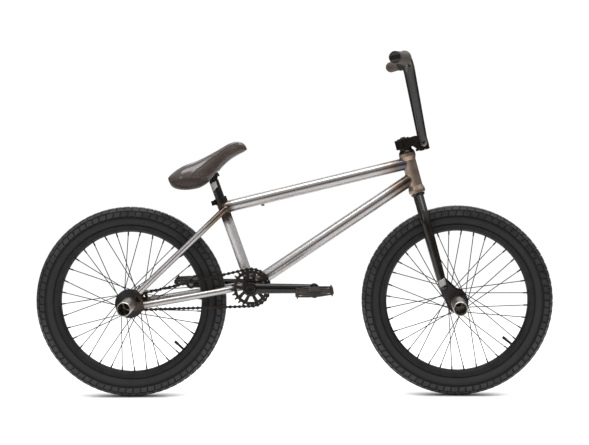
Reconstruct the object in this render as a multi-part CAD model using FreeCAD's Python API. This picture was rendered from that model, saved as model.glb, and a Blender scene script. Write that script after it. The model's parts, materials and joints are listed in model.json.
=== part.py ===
"""BMX freestyle bike, 20 inch wheels. Millimetres. X forwards, Y to the rider's left, Z up.
The origin is on the ground, midway between the wheel axles. Right-hand drive, pegs on the right side only."""
import FreeCAD, Part
import math
import os
from FreeCAD import Placement, Rotation, Vector

# ---------------------------------------------------------------- driving dimensions
WHEELBASE = 888.0
TYRE_R = 260.0
HEAD_ANGLE = 74.75          # steering axis above the horizontal, degrees
SEAT_ANGLE = 70.7
FORK_OFFSET = 26.0
STEER_TURN = -3.05          # the bars stand turned this far to the right at rest, degrees

BB_X = -116.0
BB_Z = 301.5
CHAINLINE = 40.0
SPROCKET_TEETH = 25
DRIVER_TEETH = 9
CHAIN_PITCH = 12.7
CRANK_LENGTH = 170.0

HEAD_TUBE_LOW = 306.0       # heights along the steering axis, from the level of the front axle
HEAD_TUBE_HIGH = 417.0
TOP_TUBE_R = 16.5
DOWN_TUBE_R = 17.0
SEAT_TUBE_R = 14.3
TUBE_WALL = 1.6
CABLE_BOSS_AT = 0.212       # fraction of the top tube's length, from the seat tube
SEAT_STAY_R = 8.75
CHAINSTAY_R = 9.5

STEERER_R = 14.3
RUN = 0.05                  # radial clearance of a running fit
STEM_REACH = 50.0
STEM_BAR_HEIGHT = 432.5     # bar centre along the steering axis
STEM_LOW = 413.0
STEM_HIGH = 456.0

BAR_R = 11.1
BAR_LEAN = 11.05            # the bars lean back from the vertical, degrees
BAR_HALF_WIDTH = 367.5
BAR_RISE = 225.5
BAR_SWEEP = 39.3            # grip ends sit this far behind the uprights
GRIP_R = 15.5
GRIP_LENGTH = 140.0

FRONT_DROPOUT_Y = 50.0      # inner faces of the dropouts
REAR_DROPOUT_Y = 55.0
DROPOUT_T = 6.0
FRONT_AXLE_R = 4.76
REAR_AXLE_R = 7.0
PEG_R = 19.0
PEG_LENGTH = 114.3

SPOKE_COUNT = 36
SPOKE_R = 1.17              # 13 gauge
FLANGE_R = 30.0
SPOKE_CIRCLE_R = 27.0
RIM_INNER_R = 191.6
BEAD_SEAT_R = 203.0

SEAT_POST_R = 12.7
SEAT_PIVOT_T = 314.5        # distance of the seat pivot from the crank axis along the seat tube
SEAT_TUBE_TOP = 251.5
SEAT_TILT = 25.0            # nose up, degrees

HEADSET_SEAT_R = 20.0
HEADSET_SEAT = 8.0
SHELL_R = 23.0
SHELL_HALF = 36.5
SHELL_BORE = 20.6
FORK_LEG_R = 13.5
FORK_TIP_R = 11.3
FORK_WALL = 2.2
CLAMP_LOW = 240.0            # seat clamp, along the seat tube from the crank axis
CLAMP_HIGH = 256.0
CLAMP_R = 17.6
CLAMP_BOLT_BACK = 19.5       # its cross bolt, behind the seat tube's axis

GUARD_IN = 49.5              # drive-side hub parts, from the middle of the bike
GUARD_R = 39.5
DRIVER_OUT = 48.5
REAR_HUB_LEFT = 46.0
FRONT_HUB_END = 46.0
PEG_WALL = 2.4
PEG_END_WALL = 5.0
WASHER = 2.0

PLATE_R = 4.1                # chain: plate ends, plate waist, roller, pin, and the two plate layers
PLATE_WAIST = 2.0
ROLLER_R = 3.8
PIN_R = 1.8
INNER_PLATE = (1.75, 2.9)
OUTER_PLATE = (2.95, 4.1)
PIN_OUT = 4.6
COG_HALF = 1.45              # half the thickness of the sprocket and the driver's teeth

STEM_REAR_LOW = 431.0
STEM_WIDTH = 50.0
PLATE_GAP = 1.2
STEM_BOLT_R = 2.9
BAR_FOOT_Y = 53.0
BAR_CORNER_Y = 155.0
BAR_BENDS = (62.0, 40.0, 40.0, 62.0)
BAR_WALL = 1.6
CROSSBAR_HEIGHT = 100.0
CROSSBAR_R = 8.0

NIPPLE_LENGTH = 14.0
NIPPLE_R = 2.0
FLANGE_HALF = 1.5
FRONT_WHEEL_ANGLES = (-13.6, -38.7)   # first spoke hole and valve, degrees from straight forwards
REAR_WHEEL_ANGLES = (-18.1, -43.1)

SPINDLE_R = 11.0
SPINDLE_HALF = 77.0
ARM_IN = 60.0                # centre line of the crank arm at the spindle and at the pedal, from the middle
ARM_OUT = 73.0
ARM_BOSS_R = 17.0
ARM_BOSS_IN = 46.6           # inner face of the arm's boss
SPROCKET_BOLT_X = 20.0
SPROCKET_BOLT_R = 3.2
SPROCKET_WINDOWS = 5         # triangles, and as many slots between them
PEDAL_THREAD_R = 7.0
PEDAL_IN = 95.0
PEDAL_LONG = 100.0
PEDAL_WIDE = 100.0
PEDAL_THICK = 17.0
PEDAL_SPINDLE_R = 6.0
RIGHT_PEDAL_TILT = -4.0
LEFT_PEDAL_TILT = 2.0

SADDLE_HEAD_R = 13.0
SOCKET_R = 19.0
SOFT_GAP = 0.3               # the padding stands this far clear of the base
# stations along the cushion: x, underside, top, half width
CUSHION_STATIONS = [(-110, 29.5, 45.5, 20), (-104, 18.5, 51.5, 44), (-91, 7.5, 55.5, 58), (-58, -7, 61, 65),
                    (-18, -8.5, 58.5, 47), (17, 4.5, 59, 29), (57, 20.5, 62, 19.5), (95, 25.5, 62, 18),
                    (111, 26.5, 53.5, 14), (118, 29.5, 41.5, 7)]

# ---------------------------------------------------------------- derived places
X_AXIS = Vector(1, 0, 0)
Y_AXIS = Vector(0, 1, 0)
Z_AXIS = Vector(0, 0, 1)
ORIGIN = Vector(0, 0, 0)
REAR_AXLE = Vector(-WHEELBASE / 2, 0, TYRE_R)
FRONT_AXLE = Vector(WHEELBASE / 2, 0, TYRE_R)
BB = Vector(BB_X, 0, BB_Z)

LEAN = 90.0 - HEAD_ANGLE
STEER_DIR = Vector(-math.sin(math.radians(LEAN)), 0, math.cos(math.radians(LEAN)))
STEER_FOOT = FRONT_AXLE - X_AXIS * (FORK_OFFSET / math.cos(math.radians(LEAN)))
# steering frame: x square to the steering axis and forwards, z up along it
HEAD_FRAME = Placement(STEER_FOOT, Rotation(Y_AXIS, -LEAN))
STEER_FRAME = HEAD_FRAME.multiply(Placement(ORIGIN, Rotation(Z_AXIS, STEER_TURN)))
AXLE_DROP = -FORK_OFFSET * math.tan(math.radians(LEAN))
AXLE_IN_FORK = Vector(FORK_OFFSET, 0, AXLE_DROP)
BAR_CLAMP = Vector(STEM_REACH, 0, STEM_BAR_HEIGHT)

SEAT_TUBE_DIR = Vector(-math.cos(math.radians(SEAT_ANGLE)), 0, math.sin(math.radians(SEAT_ANGLE)))
SEAT_PIVOT = BB + SEAT_TUBE_DIR * SEAT_PIVOT_T

SPROCKET_R = CHAIN_PITCH / 2 / math.sin(math.pi / SPROCKET_TEETH)
DRIVER_R = CHAIN_PITCH / 2 / math.sin(math.pi / DRIVER_TEETH)


# ---------------------------------------------------------------- shape helpers
def rod(start, end, radius):
    return Part.makeCylinder(radius, (end - start).Length, start, end - start)


def tube(start, end, radius, wall):
    return rod(start, end, radius).cut(rod(start, end, radius - wall))


def taper(start, end, radius_start, radius_end):
    return Part.makeCone(radius_start, radius_end, (end - start).Length, start, end - start)


def y_rod(radius, y_start, y_end, centre=ORIGIN):
    low, high = sorted((y_start, y_end))
    return Part.makeCylinder(radius, high - low, Vector(centre.x, low, centre.z), Y_AXIS)


def y_ring(outer, inner, y_start, y_end, centre=ORIGIN):
    return y_rod(outer, y_start, y_end, centre).cut(y_rod(inner, y_start, y_end, centre))


def z_rod(radius, z_start, z_end, x=0.0, y=0.0):
    return Part.makeCylinder(radius, z_end - z_start, Vector(x, y, z_start), Z_AXIS)


def z_ring(outer, inner, z_start, z_end):
    return z_rod(outer, z_start, z_end).cut(z_rod(inner, z_start, z_end))


def joined(shapes):
    return shapes[0].fuse(shapes[1:]).removeSplitter() if len(shapes) > 1 else shapes[0]


def turned_y(profile):
    """Solid of revolution about the Y axis from corner points (radius, y)."""
    corners = [Vector(radius, y, 0) for radius, y in profile]
    face = Part.Face(Part.makePolygon(corners + corners[:1]))
    return face.revolve(ORIGIN, Y_AXIS, 360)


def turned_z(profile):
    """Solid of revolution about the Z axis from corner points (radius, z)."""
    corners = [Vector(radius, 0, z) for radius, z in profile]
    face = Part.Face(Part.makePolygon(corners + corners[:1]))
    return face.revolve(ORIGIN, Z_AXIS, 360)


def side_plate(outline, y_start, y_end):
    """Flat plate in the XZ plane from corner points (x, z), between two values of y."""
    corners = [Vector(x, y_start, z) for x, z in outline]
    face = Part.Face(Part.makePolygon(corners + corners[:1]))
    return face.extrude(Y_AXIS * (y_end - y_start))


def bent_rod(points, bends, radius):
    """Round bar along straight runs joined by tangent arcs, one arc radius in bends for each inner point."""
    edges = []
    start = points[0]
    for before, corner, after, bend in zip(points, points[1:], points[2:], bends):
        back = (before - corner).normalize()
        ahead = (after - corner).normalize()
        half = back.getAngle(ahead) / 2
        reach = bend / math.tan(half)
        to_middle = (back + ahead).normalize()
        middle = corner + to_middle * (bend / math.sin(half) - bend)
        arc_start = corner + back * reach
        arc_end = corner + ahead * reach
        edges.append(Part.LineSegment(start, arc_start).toShape())
        edges.append(Part.Arc(arc_start, middle, arc_end).toShape())
        start = arc_end
    edges.append(Part.LineSegment(start, points[-1]).toShape())
    path = Part.Wire(edges)
    circle = Part.Wire([Part.makeCircle(radius, points[0], points[1] - points[0])])
    return path.makePipeShell([circle], True, False)


def bent_tube(points, bends, radius, wall):
    return bent_rod(points, bends, radius).cut(bent_rod(points, bends, radius - wall))


def hexagon(across_flats, y_start, y_end, centre=ORIGIN):
    corner_r = across_flats / math.sqrt(3)
    outline = []
    for k in range(6):
        angle = math.radians(60 * k)
        outline.append((centre.x + corner_r * math.cos(angle), centre.z + corner_r * math.sin(angle)))
    return side_plate(outline, y_start, y_end)


def mirrored(shape):
    """The same shape on the other side of the bike."""
    return shape.mirror(ORIGIN, Y_AXIS)


def placed(shape, placement):
    copy = shape.copy()
    copy.Placement = placement.multiply(copy.Placement)
    return copy


def export(node, shapes, placement=None):
    solids = []
    for shape in shapes if isinstance(shapes, list) else [shapes]:
        solids.extend(shape.Solids)
    if placement is not None:
        solids = [placed(solid, placement) for solid in solids]
    whole = solids[0] if len(solids) == 1 else Part.makeCompound(solids)
    whole.exportStep("parts/" + node + ".step")
    valid = all(solid.isValid() for solid in solids)
    print(node, len(solids), "solids", "valid" if valid else "INVALID", round(whole.Volume / 1000, 2), "cm3")


# ---------------------------------------------------------------- frame
def head_tube_solids():
    """Integrated head tube, flared at both ends, with seats for the headset bearings."""
    flare, waist = 22.5, 19.0
    low, high = HEAD_TUBE_LOW, HEAD_TUBE_HIGH
    outer = turned_z([(0, low), (flare, low), (flare, low + 9), (waist, low + 20), (waist, high - 20),
                      (flare, high - 9), (flare, high), (0, high)])
    bore = z_rod(16.6, low - 1, high + 1)
    seats = [z_rod(HEADSET_SEAT_R, low - 1, low + HEADSET_SEAT),
             z_rod(HEADSET_SEAT_R, high - HEADSET_SEAT, high + 1)]
    outer = placed(outer, HEAD_FRAME)
    inner = [placed(shape, HEAD_FRAME) for shape in [bore] + seats]
    return outer, joined(inner)


def steer_point(height, forward=0.0):
    return HEAD_FRAME.multVec(Vector(forward, 0, height))


def tube_blanks():
    """Uncut outer cylinders of the main tubes, used for the tubes and to cope their neighbours."""
    top_front = steer_point(389.5)
    top_rear = BB + SEAT_TUBE_DIR * 227.4
    down_front = steer_point(348.3)
    blanks = {
        "top": (top_rear, top_front, TOP_TUBE_R),
        "down": (BB, down_front, DOWN_TUBE_R),
        "seat": (BB, BB + SEAT_TUBE_DIR * SEAT_TUBE_TOP, SEAT_TUBE_R),
    }
    return blanks


def hollow(blank):
    start, end, radius = blank
    return tube(start, end, radius, TUBE_WALL)


def main_tubes():
    blanks = tube_blanks()
    head_outer, head_inner = head_tube_solids()
    shell = y_rod(SHELL_R, -SHELL_HALF, SHELL_HALF, BB)
    seat_outer = rod(*blanks["seat"])
    down_outer = rod(*blanks["down"])
    seat = rod(*blanks["seat"]).cut(rod(BB, BB + SEAT_TUBE_DIR * 300, SEAT_POST_R + RUN))
    seat = seat.cut(shell).cut(down_outer)
    top = hollow(blanks["top"]).cut([head_outer, seat_outer])
    down = hollow(blanks["down"]).cut([head_outer, shell])
    boss_foot = blanks["top"][0] + (blanks["top"][1] - blanks["top"][0]) * CABLE_BOSS_AT
    boss = rod(boss_foot - Z_AXIS * 15.6, boss_foot - Z_AXIS * 21, 4.5)
    boss = boss.cut(rod(boss_foot, boss_foot - Z_AXIS * 30, 1.6))
    top = largest(top).fuse(boss.cut(rod(*blanks["top"])).Solids).removeSplitter()
    export("head_tube", head_outer.cut(head_inner))
    export("top_tube", top)
    export("down_tube", largest(down))
    export("seat_tube", largest(seat))
    export("bottom_bracket_shell", shell.cut(y_rod(SHELL_BORE, -40, 40, BB)))
    return [seat_outer, rod(*blanks["top"]), shell, down_outer]


def largest(shape):
    """The biggest solid left after a cut: the offcuts inside a neighbour go."""
    return max(shape.Solids, key=lambda solid: solid.Volume)


def cut_in_turn(shape, tools):
    """Cuts with one tool at a time, which stays exact where the tools run through each other."""
    for tool in tools:
        shape = shape.cut(tool)
    return shape


def rear_dropout():
    """Right dropout plate, open to the rear, with the two stay ends running into its front edge."""
    x, z = REAR_AXLE.x, REAR_AXLE.z
    outline = [(x - 13, z + 13), (x + 4, z + 20), (x + 14, z + 37), (x + 27, z + 33), (x + 40, z + 4),
               (x + 40, z - 13), (x + 14, z - 20), (x - 13, z - 13)]
    inner, outer = -REAR_DROPOUT_Y, -REAR_DROPOUT_Y - DROPOUT_T
    plate = side_plate(outline, inner, outer)
    slot_half = REAR_AXLE_R + 0.1
    slot = Part.makeBox(60, 20, 2 * slot_half, Vector(x - 60, outer - 7, z - slot_half))
    window = side_plate([(x + 20, z + 22), (x + 32, z + 6), (x + 20, z + 6)], inner + 1, outer - 1)
    return plate.cut([slot, y_rod(slot_half, inner + 1, outer - 1, REAR_AXLE), window])


def chainstay_points():
    """Right chainstay centre line: it bends outwards past the tyre."""
    end_x, end_z = REAR_AXLE.x + 40, REAR_AXLE.z - 3
    start_x, start_z = BB.x - 14, BB.z + 1.5

    def at(x, y):
        part_way = (x - start_x) / (end_x - start_x)
        return Vector(x, -y, start_z + (end_z - start_z) * part_way)

    return [at(start_x, 22), at(-167, 24.5), at(-213, 41.5), at(end_x, 57.0)]


def seat_stay_points():
    """Right seat stay centre line, from beside the seat cluster to the dropout."""
    top = BB + SEAT_TUBE_DIR * 223 + X_AXIS * 5
    end_x, end_z = REAR_AXLE.x + 27, REAR_AXLE.z + 32.6
    knee = 0.24
    return [Vector(top.x, -21, top.z + 2),
            Vector(top.x + (end_x - top.x) * knee, -37, top.z + 2 + (end_z - top.z - 2) * knee),
            Vector(end_x, -57, end_z)]


def rear_triangle(neighbours):
    dropout = rear_dropout()
    chainstay = bent_tube(chainstay_points(), [60, 60], CHAINSTAY_R, TUBE_WALL)
    chainstay = largest(cut_in_turn(chainstay, neighbours + [dropout]))
    points = seat_stay_points()
    stay = bent_rod(points, [80], SEAT_STAY_R).fuse(Part.makeSphere(SEAT_STAY_R, points[0]))
    stay = stay.cut(bent_rod(points, [80], SEAT_STAY_R - TUBE_WALL))
    stay = largest(cut_in_turn(stay, neighbours + [dropout]))
    export("chainstays", [chainstay, mirrored(chainstay)])
    export("seat_stays", [stay, mirrored(stay)])
    export("rear_dropouts", [dropout, mirrored(dropout)])


def bearings():
    headset = []
    for low in (HEAD_TUBE_LOW, HEAD_TUBE_HIGH - HEADSET_SEAT):
        headset.append(placed(z_ring(HEADSET_SEAT_R, STEERER_R + RUN, low, low + HEADSET_SEAT), HEAD_FRAME))
    export("headset_bearings", headset)
    race = y_ring(SHELL_BORE, SPINDLE_R + RUN, -SHELL_HALF, -SHELL_HALF + 8, BB)
    export("bottom_bracket_bearings", [race, mirrored(race)])


def seat_clamp():
    """Collar at the top of the seat tube, split at the rear with a cross bolt."""
    start, end = BB + SEAT_TUBE_DIR * CLAMP_LOW, BB + SEAT_TUBE_DIR * CLAMP_HIGH
    rearward = Vector(-SEAT_TUBE_DIR.z, 0, SEAT_TUBE_DIR.x)
    bolt_centre = BB + SEAT_TUBE_DIR * ((CLAMP_LOW + CLAMP_HIGH) / 2) + rearward * CLAMP_BOLT_BACK
    collar = rod(start, end, CLAMP_R)
    ears = turn_box_to(Part.makeBox(13.5, 21, 12.5, Vector(-7, -10.5, -6.25)), bolt_centre, rearward)
    bore = rod(start - SEAT_TUBE_DIR, BB + SEAT_TUBE_DIR * SEAT_TUBE_TOP, SEAT_TUBE_R)
    neck = rod(start, end + SEAT_TUBE_DIR, SEAT_POST_R + RUN)
    slit = Part.makeBox(30, 2.4, 24, Vector(-20, -1.2, -12))
    slit = turn_box_to(slit, bolt_centre, rearward)
    bolt_hole = y_rod(3.1, -12, 12, bolt_centre)
    top_tube = rod(*tube_blanks()["top"])
    export("seat_clamp", cut_in_turn(collar.fuse(ears), [bore, neck, slit, bolt_hole, top_tube]))
    head_y = 10.5
    bolt = y_rod(3.1, -head_y, head_y, bolt_centre)
    head = y_rod(5.2, -head_y - 5, -head_y, bolt_centre)
    head = head.cut(hexagon(4, -head_y - 6, -head_y - 2.5, bolt_centre))
    nut = y_rod(4.6, head_y, head_y + 3, bolt_centre)
    export("seat_clamp_bolt", joined([bolt, head, nut]))


def turn_box_to(box, centre, along):
    """Puts a box made about the origin at centre, with its x side lying along a direction in the XZ plane."""
    angle = math.degrees(math.atan2(-along.z, along.x))
    return placed(box, Placement(centre, Rotation(Y_AXIS, angle)))


def rear_axle_set():
    outer = REAR_DROPOUT_Y + DROPOUT_T
    axle = y_rod(REAR_AXLE_R, -outer - 24, outer + 20, REAR_AXLE)
    export("rear_axle", axle)
    nuts = []
    right_seat = -outer - RUN - PEG_END_WALL
    nuts.append(axle_nut(22, right_seat - 11, right_seat, REAR_AXLE, REAR_AXLE_R))
    nuts.append(axle_nut(22, outer + WASHER, outer + WASHER + 11, REAR_AXLE, REAR_AXLE_R))
    nuts.append(y_ring(13, REAR_AXLE_R, outer, outer + WASHER, REAR_AXLE))
    nuts.append(y_ring(10, REAR_AXLE_R, REAR_HUB_LEFT + 0.4, REAR_DROPOUT_Y, REAR_AXLE))
    nuts.append(y_ring(9.5, REAR_AXLE_R, -GUARD_IN, -DRIVER_OUT - 0.2, REAR_AXLE))
    export("rear_axle_nuts_and_spacers", nuts)
    export("rear_peg", peg(-outer - RUN, REAR_AXLE, REAR_AXLE_R + 0.1))
    guard = turned_y([(REAR_AXLE_R, -GUARD_IN), (14, -GUARD_IN), (GUARD_R, -45.2), (GUARD_R, -47.2),
                      (19, -54.8), (REAR_AXLE_R, -54.8)])
    export("rear_hub_guard", placed(guard, Placement(REAR_AXLE, Rotation())))


def axle_nut(across, y_start, y_end, centre, bore):
    return hexagon(across, y_start, y_end, centre).cut(y_rod(bore, y_start - 1, y_end + 1, centre))


def peg(y_start, centre, bore):
    """Hollow foot peg on the right side, closed by a wall with the axle hole at its inner end."""
    y_end = y_start - PEG_LENGTH
    shell = y_rod(PEG_R, y_end, y_start, centre)
    shell = shell.makeChamfer(1.0, [edge for edge in shell.Edges if edge.Closed])
    inside = y_rod(PEG_R - PEG_WALL, y_end - 1, y_start - PEG_END_WALL, centre)
    return shell.cut([inside, y_rod(bore, y_start - PEG_END_WALL - 1, y_start + 1, centre)])


# ---------------------------------------------------------------- chain
def chain_path():
    """Straight runs and wraps, from the sprocket's top rearwards: name, length, and point at a distance."""
    gap = REAR_AXLE - BB
    distance = gap.Length
    rise = math.atan2(-gap.z, -gap.x)
    wedge = math.asin((SPROCKET_R - DRIVER_R) / distance)
    straight = math.sqrt(distance ** 2 - (SPROCKET_R - DRIVER_R) ** 2)

    def around(centre, radius, angle):
        return centre + Vector(math.cos(angle), 0, math.sin(angle)) * radius

    top = math.pi / 2 + rise + wedge
    bottom = -math.pi / 2 + rise - wedge
    sprocket_top = around(BB, SPROCKET_R, top)
    driver_top = around(REAR_AXLE, DRIVER_R, top)
    sprocket_low = around(BB, SPROCKET_R, bottom)
    driver_low = around(REAR_AXLE, DRIVER_R, bottom)
    driver_wrap = math.pi - 2 * wedge
    sprocket_wrap = math.pi + 2 * wedge
    return [
        ("upper", straight, lambda s: sprocket_top + (driver_top - sprocket_top) * (s / straight)),
        ("driver", DRIVER_R * driver_wrap, lambda s: around(REAR_AXLE, DRIVER_R, top + s / DRIVER_R)),
        ("lower", straight, lambda s: driver_low + (sprocket_low - driver_low) * (s / straight)),
        ("sprocket", SPROCKET_R * sprocket_wrap, lambda s: around(BB, SPROCKET_R, bottom + s / SPROCKET_R)),
    ]


def chain_pins():
    """Pins all round the chain: stretch, centre, and distances from the start and the end of the stretch."""
    path = chain_path()
    total = sum(length for _, length, _ in path)
    count = 2 * round(total / CHAIN_PITCH / 2)
    pins = []
    for k in range(count):
        along = total * k / count
        for name, length, point in path:
            if along <= length:
                pins.append((name, point(along), along, length - along))
                break
            along -= length
    return pins


def clear_of_teeth(pin):
    """True for pins far enough along a straight run for the whole link to miss the teeth."""
    name, _, done, left = pin
    near_sprocket, near_driver = 31.0, 20.0
    if name == "upper":
        return done > near_sprocket and left > near_driver
    if name == "lower":
        return done > near_driver and left > near_sprocket
    return False


def link_plate(start, end, y_start, y_end):
    along = (end - start).normalize()
    side = Vector(along.z, 0, -along.x)
    middle = (start + end) / 2
    outline = [start + side * PLATE_R * 0.8, middle + side * PLATE_WAIST, end + side * PLATE_R * 0.8,
               end - side * PLATE_R * 0.8, middle - side * PLATE_WAIST, start - side * PLATE_R * 0.8]
    bar = side_plate([(p.x, p.z) for p in outline], y_start, y_end)
    return joined([bar, y_rod(PLATE_R, y_start, y_end, start), y_rod(PLATE_R, y_start, y_end, end)])


def chain():
    """Two free runs, each whole, and the links round the teeth as separate right and left rows of plates."""
    pins = chain_pins()
    runs = {"upper": [], "lower": []}
    rows = {}
    for k, pin in enumerate(pins):
        name, here = pin[0], pin[1]
        after = pins[(k + 1) % len(pins)]
        wheel_name = nearest_wheel(here)
        plate_in, plate_out = OUTER_PLATE if k % 2 else INNER_PLATE
        for side in (-1, 1):
            plate = link_plate(here, after[1], -CHAINLINE + side * plate_in, -CHAINLINE + side * plate_out)
            stub = y_rod(PIN_R, -CHAINLINE + side * INNER_PLATE[0], -CHAINLINE + side * PIN_OUT, here)
            row = rows.setdefault((wheel_name, side), [])
            if clear_of_teeth(pin) and clear_of_teeth(after):
                runs[name].append(plate)
            else:
                row.append(plate)
            if not clear_of_teeth(pin):
                row.append(stub)
        if clear_of_teeth(pin):
            runs[name].append(y_rod(ROLLER_R, -CHAINLINE - INNER_PLATE[0], -CHAINLINE + INNER_PLATE[0], here))
            runs[name].append(y_rod(PIN_R, -CHAINLINE - PIN_OUT, -CHAINLINE + PIN_OUT, here))
    upper = joined(runs["upper"])
    lower = joined(runs["lower"])
    export("chain_upper_run", upper)
    export("chain_lower_run", lower)
    export("chain_wraps", [joined(shapes).cut([upper, lower]) for shapes in rows.values()])


def nearest_wheel(point):
    return "driver" if (point - REAR_AXLE).Length < (point - BB).Length else "sprocket"


def toothed_disc(teeth, pitch_r, tip_r, y_start, y_end, centre):
    disc = y_rod(tip_r, y_start, y_end, centre)
    step = 2 * math.pi / teeth
    gullets = []
    for k in range(teeth):
        angle = step * (k + 0.5)
        place = centre + Vector(math.cos(angle), 0, math.sin(angle)) * pitch_r
        gullets.append(y_rod(4.05, y_start - 1, y_end + 1, place))
        outer = centre + Vector(math.cos(angle), 0, math.sin(angle)) * (pitch_r + 3.4)
        gullets.append(y_rod(4.9, y_start - 1, y_end + 1, outer))
    return disc.cut(gullets)


# ---------------------------------------------------------------- steering parts, in the steering frame
def fork_leg():
    """Right leg: a hollow tapered tube out from the crown and down past the tyre, with its dropout plate."""
    knee_y, knee_z = 44.0, 238.0
    foot_y, foot_z = FRONT_DROPOUT_Y + DROPOUT_T / 2, 46.0
    top = Vector(0, -12, 293)
    knee = Vector(0, -knee_y, knee_z)
    foot = Vector(0, -foot_y, foot_z)
    split = knee + (foot - knee) * 0.25
    layers = []
    for shrink in (0, FORK_WALL):
        upper = bent_rod([top, knee, split], [70], FORK_LEG_R - shrink)
        lower = taper(split, foot, FORK_LEG_R - shrink, FORK_TIP_R - shrink)
        layers.append((upper, lower))
    tip = Part.makeSphere(FORK_TIP_R, foot)
    plate = dropout_plate()
    leg = joined([layers[0][0], layers[0][1], tip.cut(layers[0][1])])
    leg = leg.cut([layers[1][0], layers[1][1]])
    leg = leg.cut([plate, z_rod(STEERER_R, 280, 320), Part.makeBox(80, 80, 60, Vector(-40, 0, 240))])
    return joined([largest(leg), plate])


def dropout_plate():
    """Plate offset forwards from the leg, with the axle slot open downwards."""
    f, s = AXLE_IN_FORK.x, AXLE_IN_FORK.z
    outline = [(-11.3, 58), (11.3, 58), (f + 19, s + 12), (f + 19, s - 12), (f + 9, s - 21), (f - 9, s - 21),
               (-10, 24)]
    inner, outer = -FRONT_DROPOUT_Y, -FRONT_DROPOUT_Y - DROPOUT_T
    plate = side_plate(outline, inner, outer)
    slot_half = FRONT_AXLE_R + 0.1
    slot = Part.makeBox(2 * slot_half, 20, 60, Vector(f - slot_half, outer - 7, s - 60))
    return plate.cut([slot, y_rod(slot_half, inner + 1, outer - 1, AXLE_IN_FORK)])


def fork():
    steerer = z_ring(STEERER_R, STEERER_R - 2.2, 278, STEM_HIGH - 1)
    race = turned_z([(STEERER_R, 297), (17.5, 297), (19.5, 303.6), (STEERER_R, 303.6)])
    crown_base = z_rod(STEERER_R, 278, 286)
    steerer = joined([steerer, race, crown_base])
    right = fork_leg().cut(steerer)
    export("fork_steerer", steerer, STEER_FRAME)
    export("fork_leg_right", largest(right), STEER_FRAME)
    export("fork_leg_left", mirrored(largest(right)), STEER_FRAME)
    cover_low = HEAD_TUBE_HIGH + 0.4
    cover = turned_z([(STEERER_R, cover_low), (21.5, cover_low), (20.5, 421.5), (17, 425), (17, STEM_REAR_LOW),
                      (STEERER_R, STEM_REAR_LOW)])
    export("headset_cover", cover, STEER_FRAME)
    cap = z_rod(16.5, STEM_HIGH, STEM_HIGH + 2.5).cut(z_rod(3.2, 440, 470))
    star = z_rod(STEERER_R - 2.2, 425, 431).cut(z_rod(3.0, 420, 440))
    bolt = z_rod(3.0, 421, STEM_HIGH + 2.5)
    head = z_rod(6.5, STEM_HIGH + 2.5, STEM_HIGH + 5.5).cut(z_rod(3, STEM_HIGH + 3.5, STEM_HIGH + 9))
    export("preload_cap_and_bolt", [cap, star, joined([bolt, head])], STEER_FRAME)


def stem():
    f, s = BAR_CLAMP.x, BAR_CLAMP.z
    half = STEM_WIDTH / 2
    outline = [(-24, STEM_REAR_LOW), (-24, STEM_HIGH), (33, STEM_HIGH), (f - PLATE_GAP, 453),
               (f - PLATE_GAP, STEM_LOW), (f - 13, STEM_LOW), (20, STEM_REAR_LOW)]
    body = side_plate(outline, -half, half)
    waist = [Part.makeBox(34, 8, 60, Vector(-6, y, 410)) for y in (-half, half - 8)]
    steerer_bore = z_rod(STEERER_R, 400, 470)
    bar_bore = y_rod(BAR_R + RUN, -40, 40, BAR_CLAMP)
    slit = Part.makeBox(14, 2.2, 60, Vector(-27, -1.1, 410))
    bolt_rows = [(y, z) for y in (-16.5, 16.5) for z in (s - 14.8, s + 15.2)]
    holes = [rod(Vector(f - 25, y, z), Vector(f + 30, y, z), STEM_BOLT_R) for y, z in bolt_rows]
    pinch_z = (437.0, 449.5)
    pinch = [y_rod(STEM_BOLT_R, -half - 1, half + 1, Vector(-19.5, 0, z)) for z in pinch_z]
    front_face = side_plate([(f + PLATE_GAP, 452.5), (f + 9, 452.5), (f + 13.5, s + 8), (f + 13.5, s - 8),
                             (f + 9, STEM_LOW), (f + PLATE_GAP, STEM_LOW)], -half, half)
    bolts = []
    for y, z in bolt_rows:
        shank = rod(Vector(f - 24, y, z), Vector(f + 8.5, y, z), STEM_BOLT_R)
        head = rod(Vector(f + 8.5, y, z), Vector(f + 13, y, z), 4.4)
        socket = rod(Vector(f + 11, y, z), Vector(f + 14, y, z), 2.2)
        bolts.append(joined([shank, head]).cut(socket))
    seats = [rod(Vector(f + 8.5, y, z), Vector(f + 20, y, z), 4.4) for y, z in bolt_rows]
    for z in pinch_z:
        centre = Vector(-19.5, 0, z)
        shank = y_rod(STEM_BOLT_R, -half, half - 3, centre)
        head = y_rod(4.3, -half - 3.5, -half, centre).cut(y_rod(2.1, -half - 4, -half - 1.5, centre))
        bolts.append(joined([shank, head]))
    body = body.cut(waist + [steerer_bore, bar_bore, slit] + holes + pinch)
    export("stem_body", largest(body), STEER_FRAME)
    export("stem_face_plate", front_face.cut([bar_bore] + holes + seats), STEER_FRAME)
    export("stem_bolts", bolts, STEER_FRAME)


def front_axle_set():
    outer = FRONT_DROPOUT_Y + DROPOUT_T
    centre = AXLE_IN_FORK
    export("front_axle", y_rod(FRONT_AXLE_R, -outer - 20, outer + 14, centre), STEER_FRAME)
    seat = -outer - RUN - PEG_END_WALL
    nuts = [axle_nut(15, seat - 8, seat, centre, FRONT_AXLE_R),
            axle_nut(15, outer + WASHER, outer + WASHER + 8, centre, FRONT_AXLE_R),
            y_ring(10, FRONT_AXLE_R, outer, outer + WASHER, centre),
            y_ring(8, FRONT_AXLE_R, FRONT_HUB_END + 0.3, FRONT_DROPOUT_Y, centre),
            y_ring(8, FRONT_AXLE_R, -FRONT_DROPOUT_Y, -FRONT_HUB_END - 0.3, centre)]
    export("front_axle_nuts_and_spacers", nuts, STEER_FRAME)
    export("front_peg", peg(-outer - RUN, centre, FRONT_AXLE_R + 0.1), STEER_FRAME)


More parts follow.
